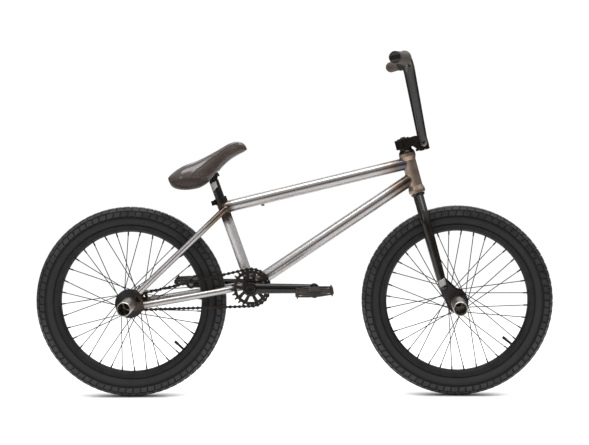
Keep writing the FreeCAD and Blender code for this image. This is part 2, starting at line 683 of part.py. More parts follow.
# ---------------------------------------------------------------- handlebar, in a frame at the stem clamp
BAR_FRAME = STEER_FRAME.multiply(Placement(BAR_CLAMP, Rotation(Y_AXIS, LEAN - BAR_LEAN)))


def bar_points():
    end = Vector(-BAR_SWEEP, -BAR_HALF_WIDTH + 4, BAR_RISE + 2)
    corner = Vector(0, -BAR_CORNER_Y, BAR_RISE)
    foot = Vector(0, -BAR_FOOT_Y, 0)
    right = [end, corner, foot]
    left = [Vector(p.x, -p.y, p.z) for p in reversed(right)]
    return right + left


def handlebar():
    points = bar_points()
    bar = bent_tube(points, BAR_BENDS, BAR_R, BAR_WALL)
    upright = points[2] + (points[1] - points[2]) * (CROSSBAR_HEIGHT / BAR_RISE)
    crossbar = rod(upright, Vector(0, -upright.y, upright.z), CROSSBAR_R)
    crossbar = crossbar.cut(bent_rod(points, BAR_BENDS, BAR_R))
    export("handlebar", bar, BAR_FRAME)
    export("handlebar_crossbar", largest(crossbar), BAR_FRAME)
    end, corner = points[0], points[1]
    along = (corner - end).normalize()
    grip_out = end - along * 2
    grip_in = end + along * GRIP_LENGTH
    grip = rod(grip_out, grip_in, GRIP_R)
    flange = rod(grip_in - along * 3, grip_in, GRIP_R + 3)
    grip = grip.fuse(flange).cut(rod(grip_out - along, grip_in + along, BAR_R)).removeSplitter()
    plug = joined([rod(end - along * 4, end - along * 2, GRIP_R - 1), rod(end - along * 2, end, BAR_R)])
    stub = rod(end, end + along * 18, BAR_R - BAR_WALL)
    plug = joined([plug, stub])
    export("grips", [grip, mirrored(grip)], BAR_FRAME)
    export("bar_end_plugs", [plug, mirrored(plug)], BAR_FRAME)


# ---------------------------------------------------------------- wheels, built about their own axis
def spoke_ends(k, flange_y, phase):
    """Elbow and rim points of spoke k: even spokes on the right flange, odd on the left, three-cross."""
    side = -1 if k % 2 == 0 else 1
    trailing = (k // 2) % 2 == 0
    at_rim = math.radians(360 / SPOKE_COUNT * k + phase)
    at_hub = at_rim + math.radians(-60 if trailing else 60)
    face = flange_y[side] - side * (FLANGE_HALF + SPOKE_R + 0.1)
    if trailing:
        face = flange_y[side] + side * (FLANGE_HALF + 2.4)
    elbow = Vector(math.cos(at_hub), 0, math.sin(at_hub)) * SPOKE_CIRCLE_R + Y_AXIS * face
    rim = Vector(math.cos(at_rim), 0, math.sin(at_rim)) * (RIM_INNER_R + 3) + Y_AXIS * (side * 2.5)
    head_side = -side if trailing else side
    head = Vector(elbow.x, flange_y[side] + head_side * 1.55, elbow.z)
    return elbow, rim, head, Y_AXIS * head_side


def spokes_and_nipples(flange_y, phase):
    solids = []
    holes = []
    for k in range(SPOKE_COUNT):
        elbow, rim, head, outwards = spoke_ends(k, flange_y, phase)
        along = (rim - elbow).normalize()
        inner_end = rim - along * NIPPLE_LENGTH
        shank = rod(elbow, inner_end, SPOKE_R)
        bend = Part.makeSphere(SPOKE_R, elbow)
        neck = rod(elbow, head, SPOKE_R)
        button = rod(head, head + outwards * 1.0, 1.9)
        solids.append(joined([shank, bend, neck, button]))
        solids.append(rod(inner_end, rim, NIPPLE_R))
        holes.append(rod(rim - along * 8, rim + along * 8, 2.3))
    return solids, holes


def rim_blank():
    edge, flank, waist = 17.5, 16.0, 8.0
    half = [(RIM_INNER_R, waist), (197.0, flank), (209.0, edge), (209.0, 15.3), (BEAD_SEAT_R, 15.0),
            (BEAD_SEAT_R, 10.5), (200.5, 8.0)]
    outer = turned_y(half + [(r, -y) for r, y in reversed(half)])
    room = [(193.6, 6.5), (197.8, 12.6), (198.8, 12.6)]
    chamber = turned_y(room + [(r, -y) for r, y in reversed(room)])
    return outer.cut(chamber)


def tyre():
    """Tyre carcass with its air space, from arcs: tread, two sidewalls, two beads."""
    bead_y, bead_out = 10.6, 14.8

    def arc(a, b, c):
        return Part.Arc(Vector(a[0], a[1], 0), Vector(b[0], b[1], 0), Vector(c[0], c[1], 0)).toShape()

    def line(a, b):
        return Part.LineSegment(Vector(a[0], a[1], 0), Vector(b[0], b[1], 0)).toShape()

    low, flange, side, shoulder = (BEAD_SEAT_R, bead_out), (209.4, 15.0), (227.0, 27.6), (243.0, 26.6)
    crown, inner_side, inner_top, inner_low = (TYRE_R, 0.0), (229.0, 24.0), (253.5, 0.0), (207.0, bead_y)
    base_in = (BEAD_SEAT_R, bead_y)

    def flip(point):
        return point[0], -point[1]

    edges = [line(base_in, low), line(low, flange), arc(flange, side, shoulder),
             arc(shoulder, crown, flip(shoulder)), arc(flip(shoulder), flip(side), flip(flange)),
             line(flip(flange), flip(low)),
             line(flip(low), flip(base_in)), line(flip(base_in), flip(inner_low)),
             arc(flip(inner_low), flip(inner_side), (246.0, -16.5)), arc((246.0, -16.5), inner_top, (246.0, 16.5)),
             arc((246.0, 16.5), inner_side, inner_low), line(inner_low, base_in)]
    return Part.Face(Part.Wire(edges)).revolve(ORIGIN, Y_AXIS, 360)


def inner_tube(valve_angle):
    ring = Part.makeTorus(229.0, 19.0, ORIGIN, Y_AXIS)
    hollow_ring = Part.makeTorus(229.0, 17.6, ORIGIN, Y_AXIS)
    angle = math.radians(valve_angle)
    outwards = Vector(math.cos(angle), 0, math.sin(angle))
    valve = joined([rod(outwards * 173, outwards * 211.5, 3.3), rod(outwards * 160.5, outwards * 173, 4.0)])
    ring = ring.cut(hollow_ring)
    valve = valve.cut(Part.makeTorus(229.0, 18.3, ORIGIN, Y_AXIS))
    return joined([ring, valve]), rod(outwards * 180, outwards * 210, 3.6)


def wheel(name, hub, flange_y, bearing_rings, angles, placement):
    phase, valve_angle = angles
    spokes, holes = spokes_and_nipples(flange_y, phase)
    flange_holes = []
    for k in range(SPOKE_COUNT):
        _, _, head, outwards = spoke_ends(k, flange_y, phase)
        flange_holes.append(rod(head + outwards, head - outwards * 5, 1.3))
    tube_solid, valve_hole = inner_tube(valve_angle)
    export(name + "_hub_shell", hub.cut(flange_holes), placement)
    export(name + "_hub_bearings", bearing_rings, placement)
    export(name + "_spokes", spokes, placement)
    export(name + "_rim", rim_blank().cut(holes + [valve_hole]), placement)
    export(name + "_inner_tube", tube_solid, placement)
    export(name + "_tyre", tyre(), placement)


def front_wheel():
    flange = 32.0
    body = turned_y([(0, -FRONT_HUB_END), (16, -FRONT_HUB_END), (17.5, -flange - 4), (20, -flange - 1.5),
                     (FLANGE_R, -flange - 1.5), (FLANGE_R, -flange + 1.5), (21, -flange + 1.5), (13.5, -flange + 9),
                     (13.5, flange - 9), (21, flange - 1.5), (FLANGE_R, flange - 1.5), (FLANGE_R, flange + 1.5),
                     (20, flange + 1.5), (17.5, flange + 4), (16, FRONT_HUB_END), (0, FRONT_HUB_END)])
    seat = [y_rod(13.0, side * 38, side * 50) for side in (-1, 1)]
    hub = body.cut([y_rod(9.0, -60, 60)] + seat)
    ring = y_ring(13.0, FRONT_AXLE_R + RUN, -45.5, -38)
    level = Placement(AXLE_IN_FORK, Rotation(Y_AXIS, LEAN))
    wheel("front", hub, {-1: -flange, 1: flange}, [ring, mirrored(ring)], FRONT_WHEEL_ANGLES,
          STEER_FRAME.multiply(level))


def rear_wheel():
    right, left = 22.0, 33.0
    body = turned_y([(0, -25.5), (19, -25.5), (20.5, -right - 1.5), (FLANGE_R, -right - 1.5),
                     (FLANGE_R, -right + 1.5), (23, -right + 1.5), (18, -right + 8), (18, left - 9),
                     (22, left - 1.5), (FLANGE_R, left - 1.5), (FLANGE_R, left + 1.5), (20, left + 1.5),
                     (17, REAR_HUB_LEFT), (0, REAR_HUB_LEFT)])
    hub = body.cut([y_rod(10.0, -60, 60), y_rod(15.0, -60, -18), y_rod(14.0, 38, 60)])
    rings = [y_ring(15.0, REAR_AXLE_R + RUN, -25.5, -18), y_ring(14.0, REAR_AXLE_R + RUN, 38, 45.5)]
    wheel("rear", hub, {-1: -right, 1: left}, rings, REAR_WHEEL_ANGLES, Placement(REAR_AXLE, Rotation()))


def driver():
    """The small rear cog on its sleeve, outboard of the hub's right flange."""
    y_start, y_end = -CHAINLINE - COG_HALF, -CHAINLINE + COG_HALF
    cog = toothed_disc(DRIVER_TEETH, DRIVER_R, DRIVER_R + 3.2, y_start, y_end, REAR_AXLE)
    sleeve = y_rod(14.2, -DRIVER_OUT, -26.0, REAR_AXLE)
    cog = joined([cog, sleeve]).cut(y_rod(REAR_AXLE_R + RUN, -60, 0, REAR_AXLE))
    export("driver_cog", cog)


# ---------------------------------------------------------------- cranks and pedals
def crank_arm():
    """Right arm, pointing forwards."""
    pedal = BB + X_AXIS * CRANK_LENGTH
    sections = []
    for x, y, tall, deep in ((BB.x + 8, ARM_IN, 28.5, 21.0), (pedal.x - 4, ARM_OUT, 24.5, 19.0)):
        curve = Part.Ellipse(Vector(x, -y, BB.z), tall / 2, deep / 2)
        ellipse = curve.toShape()
        ellipse.rotate(Vector(x, -y, BB.z), Y_AXIS, 90)
        sections.append(Part.Wire([ellipse]))
    arm = Part.makeLoft(sections, True)
    boss = y_rod(ARM_BOSS_R, -ARM_BOSS_IN, -SPINDLE_HALF, BB)
    boss = boss.makeFillet(1.6, [edge for edge in boss.Edges if edge.Closed])
    eye = y_rod(14.0, -ARM_OUT + 10.5, -ARM_OUT - 12, pedal)
    eye = eye.makeFillet(1.6, [edge for edge in eye.Edges if edge.Closed])
    bores = [y_rod(SPINDLE_R, -100, 0, BB), y_rod(PEDAL_THREAD_R, -100, 0, pedal)]
    return largest(joined([arm, boss, eye]).cut(bores))


def cranks():
    spindle = y_rod(SPINDLE_R, -SPINDLE_HALF, SPINDLE_HALF, BB).cut(y_rod(6.5, -90, 90, BB))
    right = crank_arm()
    left = mirrored(right)
    left.rotate(BB, Y_AXIS, 180)
    thread = y_rod(6.5, -SPINDLE_HALF, -SPINDLE_HALF + 20, BB)
    head = y_rod(10.5, -SPINDLE_HALF - 4, -SPINDLE_HALF, BB)
    bolt = joined([thread, head]).cut(hexagon(8, -SPINDLE_HALF - 5, -SPINDLE_HALF + 4, BB))
    spacer = y_ring(15.0, SPINDLE_R, -SHELL_HALF - 0.3, -CHAINLINE + COG_HALF + 0.05, BB)
    left_spacer = y_ring(15.0, SPINDLE_R, SHELL_HALF + 0.3, ARM_BOSS_IN, BB)
    sprocket_bolt_at = BB + X_AXIS * SPROCKET_BOLT_X
    sprocket_bolt = y_rod(SPROCKET_BOLT_R, -CHAINLINE + 2.6, -ARM_IN + 8, sprocket_bolt_at)
    export("crank_spindle", spindle)
    export("crank_arm_right", right.cut(sprocket_bolt))
    export("crank_arm_left", left)
    export("crank_bolts_and_spacers", [bolt, mirrored(bolt), spacer, left_spacer, sprocket_bolt])
    export("sprocket", sprocket().cut([y_rod(SPINDLE_R, -60, 0, BB), sprocket_bolt]))


def sprocket():
    """Toothed ring with windows between its spokes: triangles and slots by turns."""
    y_start, y_end = -CHAINLINE - COG_HALF, -CHAINLINE + COG_HALF
    disc = toothed_disc(SPROCKET_TEETH, SPROCKET_R, SPROCKET_R + 3.6, y_start, y_end, BB)
    hub = y_rod(21.0, -ARM_BOSS_IN, y_end, BB)
    low, high = 24.0, 38.5
    step = 360.0 / SPROCKET_WINDOWS
    windows = []
    for k in range(SPROCKET_WINDOWS):
        triangle = side_plate([(-3, low), (3, low), (9.5, high), (-9.5, high)], y_start - 1, y_end + 1)
        slot = side_plate([(-4, low), (4, low), (5, high), (-5, high)], y_start - 1, y_end + 1)
        windows.append(placed(triangle, Placement(BB, Rotation(Y_AXIS, 180 + step * k))))
        windows.append(placed(slot, Placement(BB, Rotation(Y_AXIS, 180 + step * (k + 0.5)))))
    return disc.cut(windows).fuse(hub).removeSplitter()


def pedal():
    """Right platform pedal about its own axle at the origin: barrel, two rails, end plates and grip pins."""
    y_in, y_out = -PEDAL_IN, -PEDAL_IN - PEDAL_WIDE
    half = PEDAL_LONG / 2
    end_half = PEDAL_THICK / 2 - 2.5
    outline = [(-half, -end_half + 2), (-half + 4, -end_half), (-14, -PEDAL_THICK / 2), (14, -PEDAL_THICK / 2),
               (half - 4, -end_half), (half, -end_half + 2)]
    outline = outline + [(-x, -z) for x, z in outline]
    block = side_plate(outline, y_in, y_out)
    cuts = []
    wall, middle = 7.0, y_in - PEDAL_WIDE / 2
    for side in (-1, 1):
        for y_low, y_high in ((y_out + wall, middle - wall / 2), (middle + wall / 2, y_in - wall)):
            x_low, x_high = sorted((side * 14.5, side * (half - 8)))
            cuts.append(Part.makeBox(x_high - x_low, y_high - y_low, 40, Vector(x_low, y_low, -20)))
        x_low, x_high = sorted((side * 14.5, side * (half - 10)))
        window = [(x_low, 2.6), (x_high, 2.6), (x_high, -2.6), (x_low, -2.6)]
        cuts.append(side_plate(window, y_in + 1, y_out - 1))
    pins = []
    for side in (-1, 1):
        for k in range(5):
            y = y_out + 6 + k * (PEDAL_WIDE - 12) / 4
            pins.append(z_rod(1.9, -end_half - 4, end_half + 4, side * (half - 4.6), y))
    barrel = y_rod(10.5, y_in, y_out - 5)
    body = joined([block.cut(cuts)] + pins + [barrel])
    bearing_bore = y_rod(PEDAL_SPINDLE_R + RUN, y_in + 1, y_out + 2)
    return largest(body.cut(bearing_bore))


def pedals():
    reach = X_AXIS * CRANK_LENGTH
    right = placed(pedal(), Placement(BB + reach, Rotation(Y_AXIS, RIGHT_PEDAL_TILT)))
    left = placed(mirrored(pedal()), Placement(BB - reach, Rotation(Y_AXIS, LEFT_PEDAL_TILT)))
    thread = y_rod(PEDAL_THREAD_R, -ARM_OUT - 12, -ARM_OUT + 10.5)
    collar = y_rod(8.6, -PEDAL_IN + 0.5, -ARM_OUT - 12)
    shaft = y_rod(PEDAL_SPINDLE_R, -PEDAL_IN - PEDAL_WIDE + 4, -ARM_OUT - 11)
    spindle = joined([thread, collar, shaft])
    right_spindle = placed(spindle, Placement(BB + reach, Rotation()))
    left_spindle = placed(mirrored(spindle), Placement(BB - reach, Rotation()))
    export("right_pedal_body", right)
    export("left_pedal_body", left)
    export("pedal_spindles", [right_spindle, left_spindle])


# ---------------------------------------------------------------- seat, in a frame at its pivot with x along the seat
SEAT_FRAME = Placement(SEAT_PIVOT, Rotation(Y_AXIS, -SEAT_TILT))


def seat_post():
    start = BB + SEAT_TUBE_DIR * 132
    neck = BB + SEAT_TUBE_DIR * (SEAT_PIVOT_T - 9)
    post = rod(start, neck, SEAT_POST_R).cut(rod(start - SEAT_TUBE_DIR, neck - SEAT_TUBE_DIR * 14, SEAT_POST_R - 2))
    head = placed(y_rod(SADDLE_HEAD_R, -14, 14), Placement(SEAT_PIVOT, Rotation()))
    export("seat_post", joined([post, head]).cut(placed(pivot_bolt_hole(), SEAT_POST_FRAME)))
    bolt = joined([z_rod(3.9, -20, 20), z_rod(6.2, 20, 24)])
    export("seat_pivot_bolt", bolt, SEAT_POST_FRAME)


SEAT_POST_FRAME = Placement(SEAT_PIVOT, Rotation(Y_AXIS, SEAT_ANGLE - 90))


def pivot_bolt_hole():
    return z_rod(3.9, -22, 30)


def cushion_section(x, low, high, half_width):
    """Pillow-shaped closed curve square to the length of the seat."""
    middle, half = (low + high) / 2, (high - low) / 2
    points = []
    for across, up in ((1, 0), (0.84, 0.72), (0, 1), (-0.84, 0.72), (-1, 0), (-0.8, -0.78), (0, -1), (0.8, -0.78)):
        points.append(Vector(x, half_width * across, middle + half * up))
    curve = Part.BSplineCurve()
    curve.interpolate(points, PeriodicFlag=True)
    return Part.Wire([curve.toShape()])


def cushion_blank():
    return Part.makeLoft([cushion_section(*station) for station in CUSHION_STATIONS], True, False)


def seat_base(gap):
    """Plastic base pan with the round socket that sits on the post head, grown by a gap to shape the padding."""
    socket = y_rod(SOCKET_R + gap, -16 - gap, 16 + gap)
    half = 15 + gap
    pan = side_plate([(-70, 9 - gap), (-16, 9 - gap), (18, 11 - gap), (92, 33 - gap),
                      (92, 37 + gap), (18, 15 + gap), (-16, 14 + gap), (-70, 13 + gap)], -half, half)
    return joined([socket, pan])


def seat():
    """Padded pivotal seat: base with a half-round socket on the post head, and the cushion round it."""
    below = -4.0
    open_socket = Part.makeBox(60, 60, 40, Vector(-30, -30, below - 40))
    slot = Part.makeBox(22, 9.2, 40, Vector(-11, -4.6, 5))
    shell = seat_base(0).cut([y_rod(SADDLE_HEAD_R + RUN, -20, 20), open_socket, slot])
    post_room = Part.makeBox(2 * SOCKET_R, 32, 40, Vector(-SOCKET_R, -16, -40))
    bolt_room = Part.makeBox(32, 16, 22, Vector(-16, -8, 9))
    cushion = cushion_blank().cut([seat_base(SOFT_GAP), post_room, bolt_room])
    export("seat_shell", largest(shell), SEAT_FRAME)
    export("seat_cushion", largest(cushion), SEAT_FRAME)


def main():
    os.makedirs("parts", exist_ok=True)
    neighbours = main_tubes()
    rear_triangle(neighbours)
    bearings()
    seat_clamp()
    rear_axle_set()
    chain()
    fork()
    stem()
    front_axle_set()
    handlebar()
    front_wheel()
    rear_wheel()
    driver()
    cranks()
    pedals()
    seat_post()
    seat()


main()
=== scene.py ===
"""Looks of the BMX bike, in metres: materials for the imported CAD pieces, and finer pieces that replace some.
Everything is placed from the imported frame, and built in the row frame: X forwards, Y left, Z up."""
import json
import math

import bpy
import numpy as np
from mathutils import Matrix, Vector
from mathutils.bvhtree import BVHTree


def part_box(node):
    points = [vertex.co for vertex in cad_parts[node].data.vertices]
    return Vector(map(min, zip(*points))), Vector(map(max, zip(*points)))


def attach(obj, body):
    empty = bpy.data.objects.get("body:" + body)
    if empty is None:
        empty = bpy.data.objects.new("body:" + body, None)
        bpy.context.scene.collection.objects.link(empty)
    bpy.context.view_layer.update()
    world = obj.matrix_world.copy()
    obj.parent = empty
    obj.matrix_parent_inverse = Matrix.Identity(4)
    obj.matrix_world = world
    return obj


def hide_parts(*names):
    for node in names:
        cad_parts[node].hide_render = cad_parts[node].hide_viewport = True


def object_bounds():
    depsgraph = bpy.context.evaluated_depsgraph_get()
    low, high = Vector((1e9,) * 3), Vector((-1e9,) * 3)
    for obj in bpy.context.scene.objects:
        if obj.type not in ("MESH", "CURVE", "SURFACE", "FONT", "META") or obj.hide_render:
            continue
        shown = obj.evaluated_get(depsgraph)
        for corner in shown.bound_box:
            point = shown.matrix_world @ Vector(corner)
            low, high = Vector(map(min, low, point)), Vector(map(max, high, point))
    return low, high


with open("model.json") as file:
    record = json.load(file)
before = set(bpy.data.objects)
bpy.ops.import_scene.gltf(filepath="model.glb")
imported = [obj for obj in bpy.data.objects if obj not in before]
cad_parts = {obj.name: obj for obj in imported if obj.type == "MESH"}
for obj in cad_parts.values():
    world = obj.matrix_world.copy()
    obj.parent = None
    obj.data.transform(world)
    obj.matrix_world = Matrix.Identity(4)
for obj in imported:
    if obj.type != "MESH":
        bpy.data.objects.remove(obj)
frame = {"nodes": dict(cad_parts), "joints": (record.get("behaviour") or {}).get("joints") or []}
cad_low, cad_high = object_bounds()

NODES = frame["nodes"]
JOINTS = {joint["name"]: joint for joint in frame["joints"]}
MM = 0.001


# ---- material helpers
def sockets_of(material):
    """Input sockets of the material's Principled shader."""
    return material.node_tree.nodes["Principled BSDF"].inputs


def new_material(name, **sockets):
    """Principled material; keyword names are the shader's socket names with underscores."""
    material = bpy.data.materials.new(name)
    material.use_nodes = True
    for socket, value in sockets.items():
        sockets_of(material)[socket.replace("_", " ")].default_value = value
    return material


def add(material, kind, inputs, output=0, **settings):
    """Adds a shader node, links or sets its inputs, and returns one of its outputs."""
    tree = material.node_tree
    made = tree.nodes.new("ShaderNode" + kind)
    for name, value in settings.items():
        setattr(made, name, value)
    for socket, value in inputs.items():
        if isinstance(value, bpy.types.NodeSocket):
            tree.links.new(value, made.inputs[socket])
        else:
            made.inputs[socket].default_value = value
    return made.outputs[output]


def connect(material, output, socket):
    """Feeds an output to the material's Principled shader."""
    material.node_tree.links.new(output, sockets_of(material)[socket])


def row_coords(material):
    """Row-frame coordinates at rest, because every mesh is built in the row frame."""
    return add(material, "TexCoord", {}, "Object")


def place(material, scale=(1, 1, 1), turn=(0, 0, 0)):
    """Row-frame coordinates, turned and then stretched."""
    turned = add(material, "Mapping", {"Vector": row_coords(material), "Rotation": turn})
    return add(material, "Mapping", {"Vector": turned, "Scale": scale})


def grain(material, scale, detail=4.0, roughness=0.6, where=None):
    """Noise from 0 to 1."""
    where = where or place(material)
    inputs = {"Vector": where, "Scale": scale, "Detail": detail, "Roughness": roughness}
    return add(material, "TexNoise", inputs)


def grain_vector(material, scale):
    """Noise colour, used to bend other patterns."""
    return add(material, "TexNoise", {"Vector": place(material), "Scale": scale}, "Color")


def ranged(material, value, low, high, new_low=0.0, new_high=1.0):
    """A value stretched from one range to another, and held inside it."""
    return add(material, "MapRange", {"Value": value, "From Min": low, "From Max": high,
                                      "To Min": new_low, "To Max": new_high})


def mix(material, factor, first, second):
    """Colour mix, of sockets or values. The node's colours are its inputs 6 and 7, and its output 2."""
    first, second = [c if isinstance(c, bpy.types.NodeSocket) else (*c, 1.0) for c in (first, second)]
    return add(material, "Mix", {0: factor, 6: first, 7: second}, 2, data_type="RGBA")


def patched(material, pattern, low, high, share, under, over):
    """A colour with up to a share of another over it where a pattern is high."""
    return mix(material, ranged(material, pattern, low, high, 0.0, share), under, over)


def combine(material, operation, first, second):
    return add(material, "Math", {0: first, 1: second}, operation=operation)


def plus(material, first, share, second):
    """One pattern plus a share of another."""
    return combine(material, "ADD", first, combine(material, "MULTIPLY", second, share))


def near_point(material, point, reach, soft, ragged=0.0):
    """1 within a distance of a row-frame point, fading to 0, with an uneven edge."""
    inputs = {0: row_coords(material), 1: tuple(point)}
    distance = add(material, "VectorMath", inputs, "Value", operation="DISTANCE")
    if ragged:
        wander = ranged(material, grain(material, 60.0, 3.0), 0.3, 0.7, -ragged, ragged)
        distance = combine(material, "ADD", distance, wander)
    return ranged(material, distance, reach, reach + soft, 1.0, 0.0)


def bump(material, height, distance, strength=1.0):
    normal = add(material, "Bump", {"Height": height, "Distance": distance, "Strength": strength})
    connect(material, normal, "Normal")


def round_edges(material, radius):
    """Catches light on sharp edges as if they were rounded, and keeps the material's own bump on top."""
    bevel = add(material, "Bevel", {"Radius": radius})
    for link in sockets_of(material)["Normal"].links:
        material.node_tree.links.new(bevel, link.from_node.inputs["Normal"])
    return material


def ring_lines(material, centre, axis, radii, half):
    """1 on thin circles of some radii about an axis, fading to 0 beside them."""
    arm = add(material, "VectorMath", {0: row_coords(material), 1: tuple(centre)}, operation="SUBTRACT")
    crossed = add(material, "VectorMath", {0: arm, 1: tuple(axis)}, operation="CROSS_PRODUCT")
    radius = add(material, "VectorMath", {0: crossed}, "Value", operation="LENGTH")
    lines = 0.0
    for ring in radii:
        off = combine(material, "ABSOLUTE", combine(material, "SUBTRACT", radius, ring), 0.0)
        lines = combine(material, "MAXIMUM", ranged(material, off, 0.0, half, 1.0, 0.0), lines)
    return lines


def roughen(material, value, low, high, source=(0.3, 0.7)):
    """Roughness between two values, led by a pattern."""
    connect(material, ranged(material, value, *source, low, high), "Roughness")


# ---- geometry helpers
def points_of(node):
    """All vertices of a CAD node at rest."""
    mesh = NODES[node].data
    flat = np.empty(len(mesh.vertices) * 3)
    mesh.vertices.foreach_get("co", flat)
    return flat.reshape(-1, 3)


def long_axis(points):
    """Centre and unit direction of a cloud of points' longest spread."""
    centre = points.mean(axis=0)
    direction = np.linalg.svd(points - centre, full_matrices=False)[2][0]
    return Vector(centre), Vector(direction).normalized()


def turn_to(direction):
    """Euler angles that turn a direction onto the X axis, for streaks that run along a tube."""
    return tuple(direction.rotation_difference(Vector((1, 0, 0))).to_euler())


def new_object(name, vertices, faces, materials, body, face_material=None):
    """Visible piece from row-frame points, riding a body."""
    mesh = bpy.data.meshes.new(name)
    mesh.from_pydata([tuple(v) for v in vertices], [], faces)
    mesh.validate()
    for material in materials:
        mesh.materials.append(material)
    if face_material is not None:
        mesh.polygons.foreach_set("material_index", face_material)
    mesh.polygons.foreach_set("use_smooth", [True] * len(mesh.polygons))
    mesh.update()
    made = bpy.data.objects.new(name, mesh)
    bpy.context.scene.collection.objects.link(made)
    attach(made, body)
    return made


def bridge(here, after, count, flipped=False):
    """Quads between two rings of as many points. Each ring is given by the number of its first point."""
    quads = []
    for s in range(count):
        step = (s + 1) % count
        if flipped:
            quads.append((here + s, after + s, after + step, here + step))
        else:
            quads.append((here + s, here + step, after + step, after + s))
    return quads


def lathe(profile, segments, matrix):
    """Closed ring swept round the Y axis from a closed profile of (radius, y) points."""
    count = len(profile)
    vertices = []
    for s in range(segments):
        angle = 2 * math.pi * s / segments
        for radius, y in profile:
            vertices.append(matrix @ Vector((radius * math.cos(angle), y, radius * math.sin(angle))))
    faces = []
    for s in range(segments):
        faces += bridge(s * count, ((s + 1) % segments) * count, count)
    return vertices, faces


def axis_matrix(origin, direction):
    """Takes the local Y axis to a direction at an origin."""
    turn = Vector((0, 1, 0)).rotation_difference(Vector(direction))
    return Matrix.Translation(Vector(origin)) @ turn.to_matrix().to_4x4()


def skin_tree(obj):
    """Search tree of a piece's surface."""
    return BVHTree.FromPolygons([v.co for v in obj.data.vertices], [p.vertices for p in obj.data.polygons])


def smooth_by_angle(obj, degrees=35):
    """Marks edges sharp above an angle, so that flats stay flat and rounds look round."""
    mesh = obj.data
    mesh.polygons.foreach_set("use_smooth", [True] * len(mesh.polygons))
    mesh.set_sharp_from_angle(angle=math.radians(degrees))


# ---- materials
STEEL = (0.55, 0.53, 0.52)
STRAW = (0.27, 0.205, 0.15)
BROWN = (0.085, 0.06, 0.048)
BLUE = (0.13, 0.135, 0.16)


def raw_steel(name, along, tints=(), base=STEEL, scratches=0.12, roughness=(0.24, 0.38)):
    """Clear-coated bare tube: fine brushing along it, and cloudy oxide.
    Heat tints are given as (point, reach, soft, colour)."""
    material = new_material(name, Metallic=1.0, Coat_Weight=0.3, Coat_Roughness=0.14, Anisotropic=0.3)
    streaks = grain(material, 9.0, 4.0, 0.6, place(material, (1.5, 60, 60), turn_to(along)))
    clouds = grain(material, 14.0, 4.0, 0.65)
    speckle = grain(material, 320.0, 2.0)
    dull = tuple(0.74 * c for c in base)
    warm = (base[0] * 0.96, base[1] * 0.88, base[2] * 0.80)
    colour = patched(material, streaks, 0.3, 0.7, 0.25, base, dull)
    colour = patched(material, clouds, 0.45, 0.75, 0.55, colour, warm)
    colour = patched(material, speckle, 0.6, 0.8, scratches, colour, dull)
    for point, reach, soft, tint in tints:
        colour = mix(material, near_point(material, point, reach, soft, 0.006), colour, tint)
    connect(material, colour, "Base Color")
    roughen(material, plus(material, streaks, 0.6, clouds), *roughness, (0.5, 1.1))
    bump(material, plus(material, streaks, 0.3, speckle), 0.02 * MM, 0.35)
    return material


def black_gloss(name, shade=0.008, roughness=(0.16, 0.3), shine=0.55):
    """Gloss black enamel with a brown cast, slight orange peel, dust and faint scuffs."""
    material = new_material(name, Specular_IOR_Level=shine, Coat_Weight=shine / 2, Coat_Roughness=0.08)
    clouds = grain(material, 22.0, 4.0)
    dust = grain(material, 420.0, 2.0)
    clean = (shade, shade * 0.8, shade * 0.65)
    browner = (shade * 1.9, shade * 1.45, shade * 1.15)
    dusty = (shade * 3, shade * 2.6, shade * 2.3)
    colour = patched(material, clouds, 0.35, 0.7, 1.0, clean, browner)
    colour = patched(material, dust, 0.66, 0.8, 0.5, colour, dusty)
    connect(material, colour, "Base Color")
    roughen(material, clouds, *roughness)
    bump(material, grain(material, 260.0, 2.0), 0.04 * MM, 0.35)
    return material


def satin_metal(name, tone, roughness=(0.25, 0.45), metallic=1.0, streak=(30, 30, 30)):
    """Plated or blacked steel: cloudy tone, fine turning marks or specks, worn lighter in places."""
    material = new_material(name, Metallic=metallic)
    clouds = grain(material, 45.0, 4.0)
    marks = grain(material, 30.0, 4.0, 0.7, place(material, streak))
    worn = tuple(min(1.0, c * 1.7 + 0.015) for c in tone)
    colour = patched(material, clouds, 0.35, 0.75, 0.6, tone, worn)
    colour = patched(material, marks, 0.4, 0.7, 0.5, colour, tuple(0.6 * c for c in tone))
    connect(material, colour, "Base Color")
    roughen(material, marks, *roughness)
    bump(material, marks, 0.05 * MM, 0.5)
    return material


def moulded_plastic(name, tone, roughness=(0.42, 0.6)):
    """Plastic with the fine pebbled skin of a mould."""
    material = new_material(name, Specular_IOR_Level=0.45)
    texture = grain(material, 1400.0, 3.0)
    clouds = grain(material, 30.0, 3.0)
    colour = patched(material, clouds, 0.3, 0.7, 1.0, tone, tuple(c * 1.6 + 0.004 for c in tone))
    colour = patched(material, texture, 0.55, 0.75, 0.4, colour, tuple(c * 2.4 for c in tone))
    connect(material, colour, "Base Color")
    roughen(material, texture, *roughness)
    bump(material, texture, 0.1 * MM, 0.5)
    return material


def rubber(name, tone, dusty, roughness=(0.55, 0.8), shine=0.3):
    """Matt rubber with mould pores and a dusty bloom."""
    material = new_material(name, Specular_IOR_Level=shine, Sheen_Weight=0.08, Sheen_Roughness=0.5)
    bloom = grain(material, 26.0, 5.0, 0.65)
    pores = grain(material, 900.0, 3.0)
    colour = patched(material, bloom, 0.35, 0.7, 1.0, tone, dusty)
    colour = patched(material, pores, 0.6, 0.8, 0.5, colour, tuple(c * 0.5 for c in tone))
    connect(material, colour, "Base Color")
    roughen(material, bloom, *roughness)
    bump(material, combine(material, "ADD", pores, bloom), 0.12 * MM, 0.6)
    return material


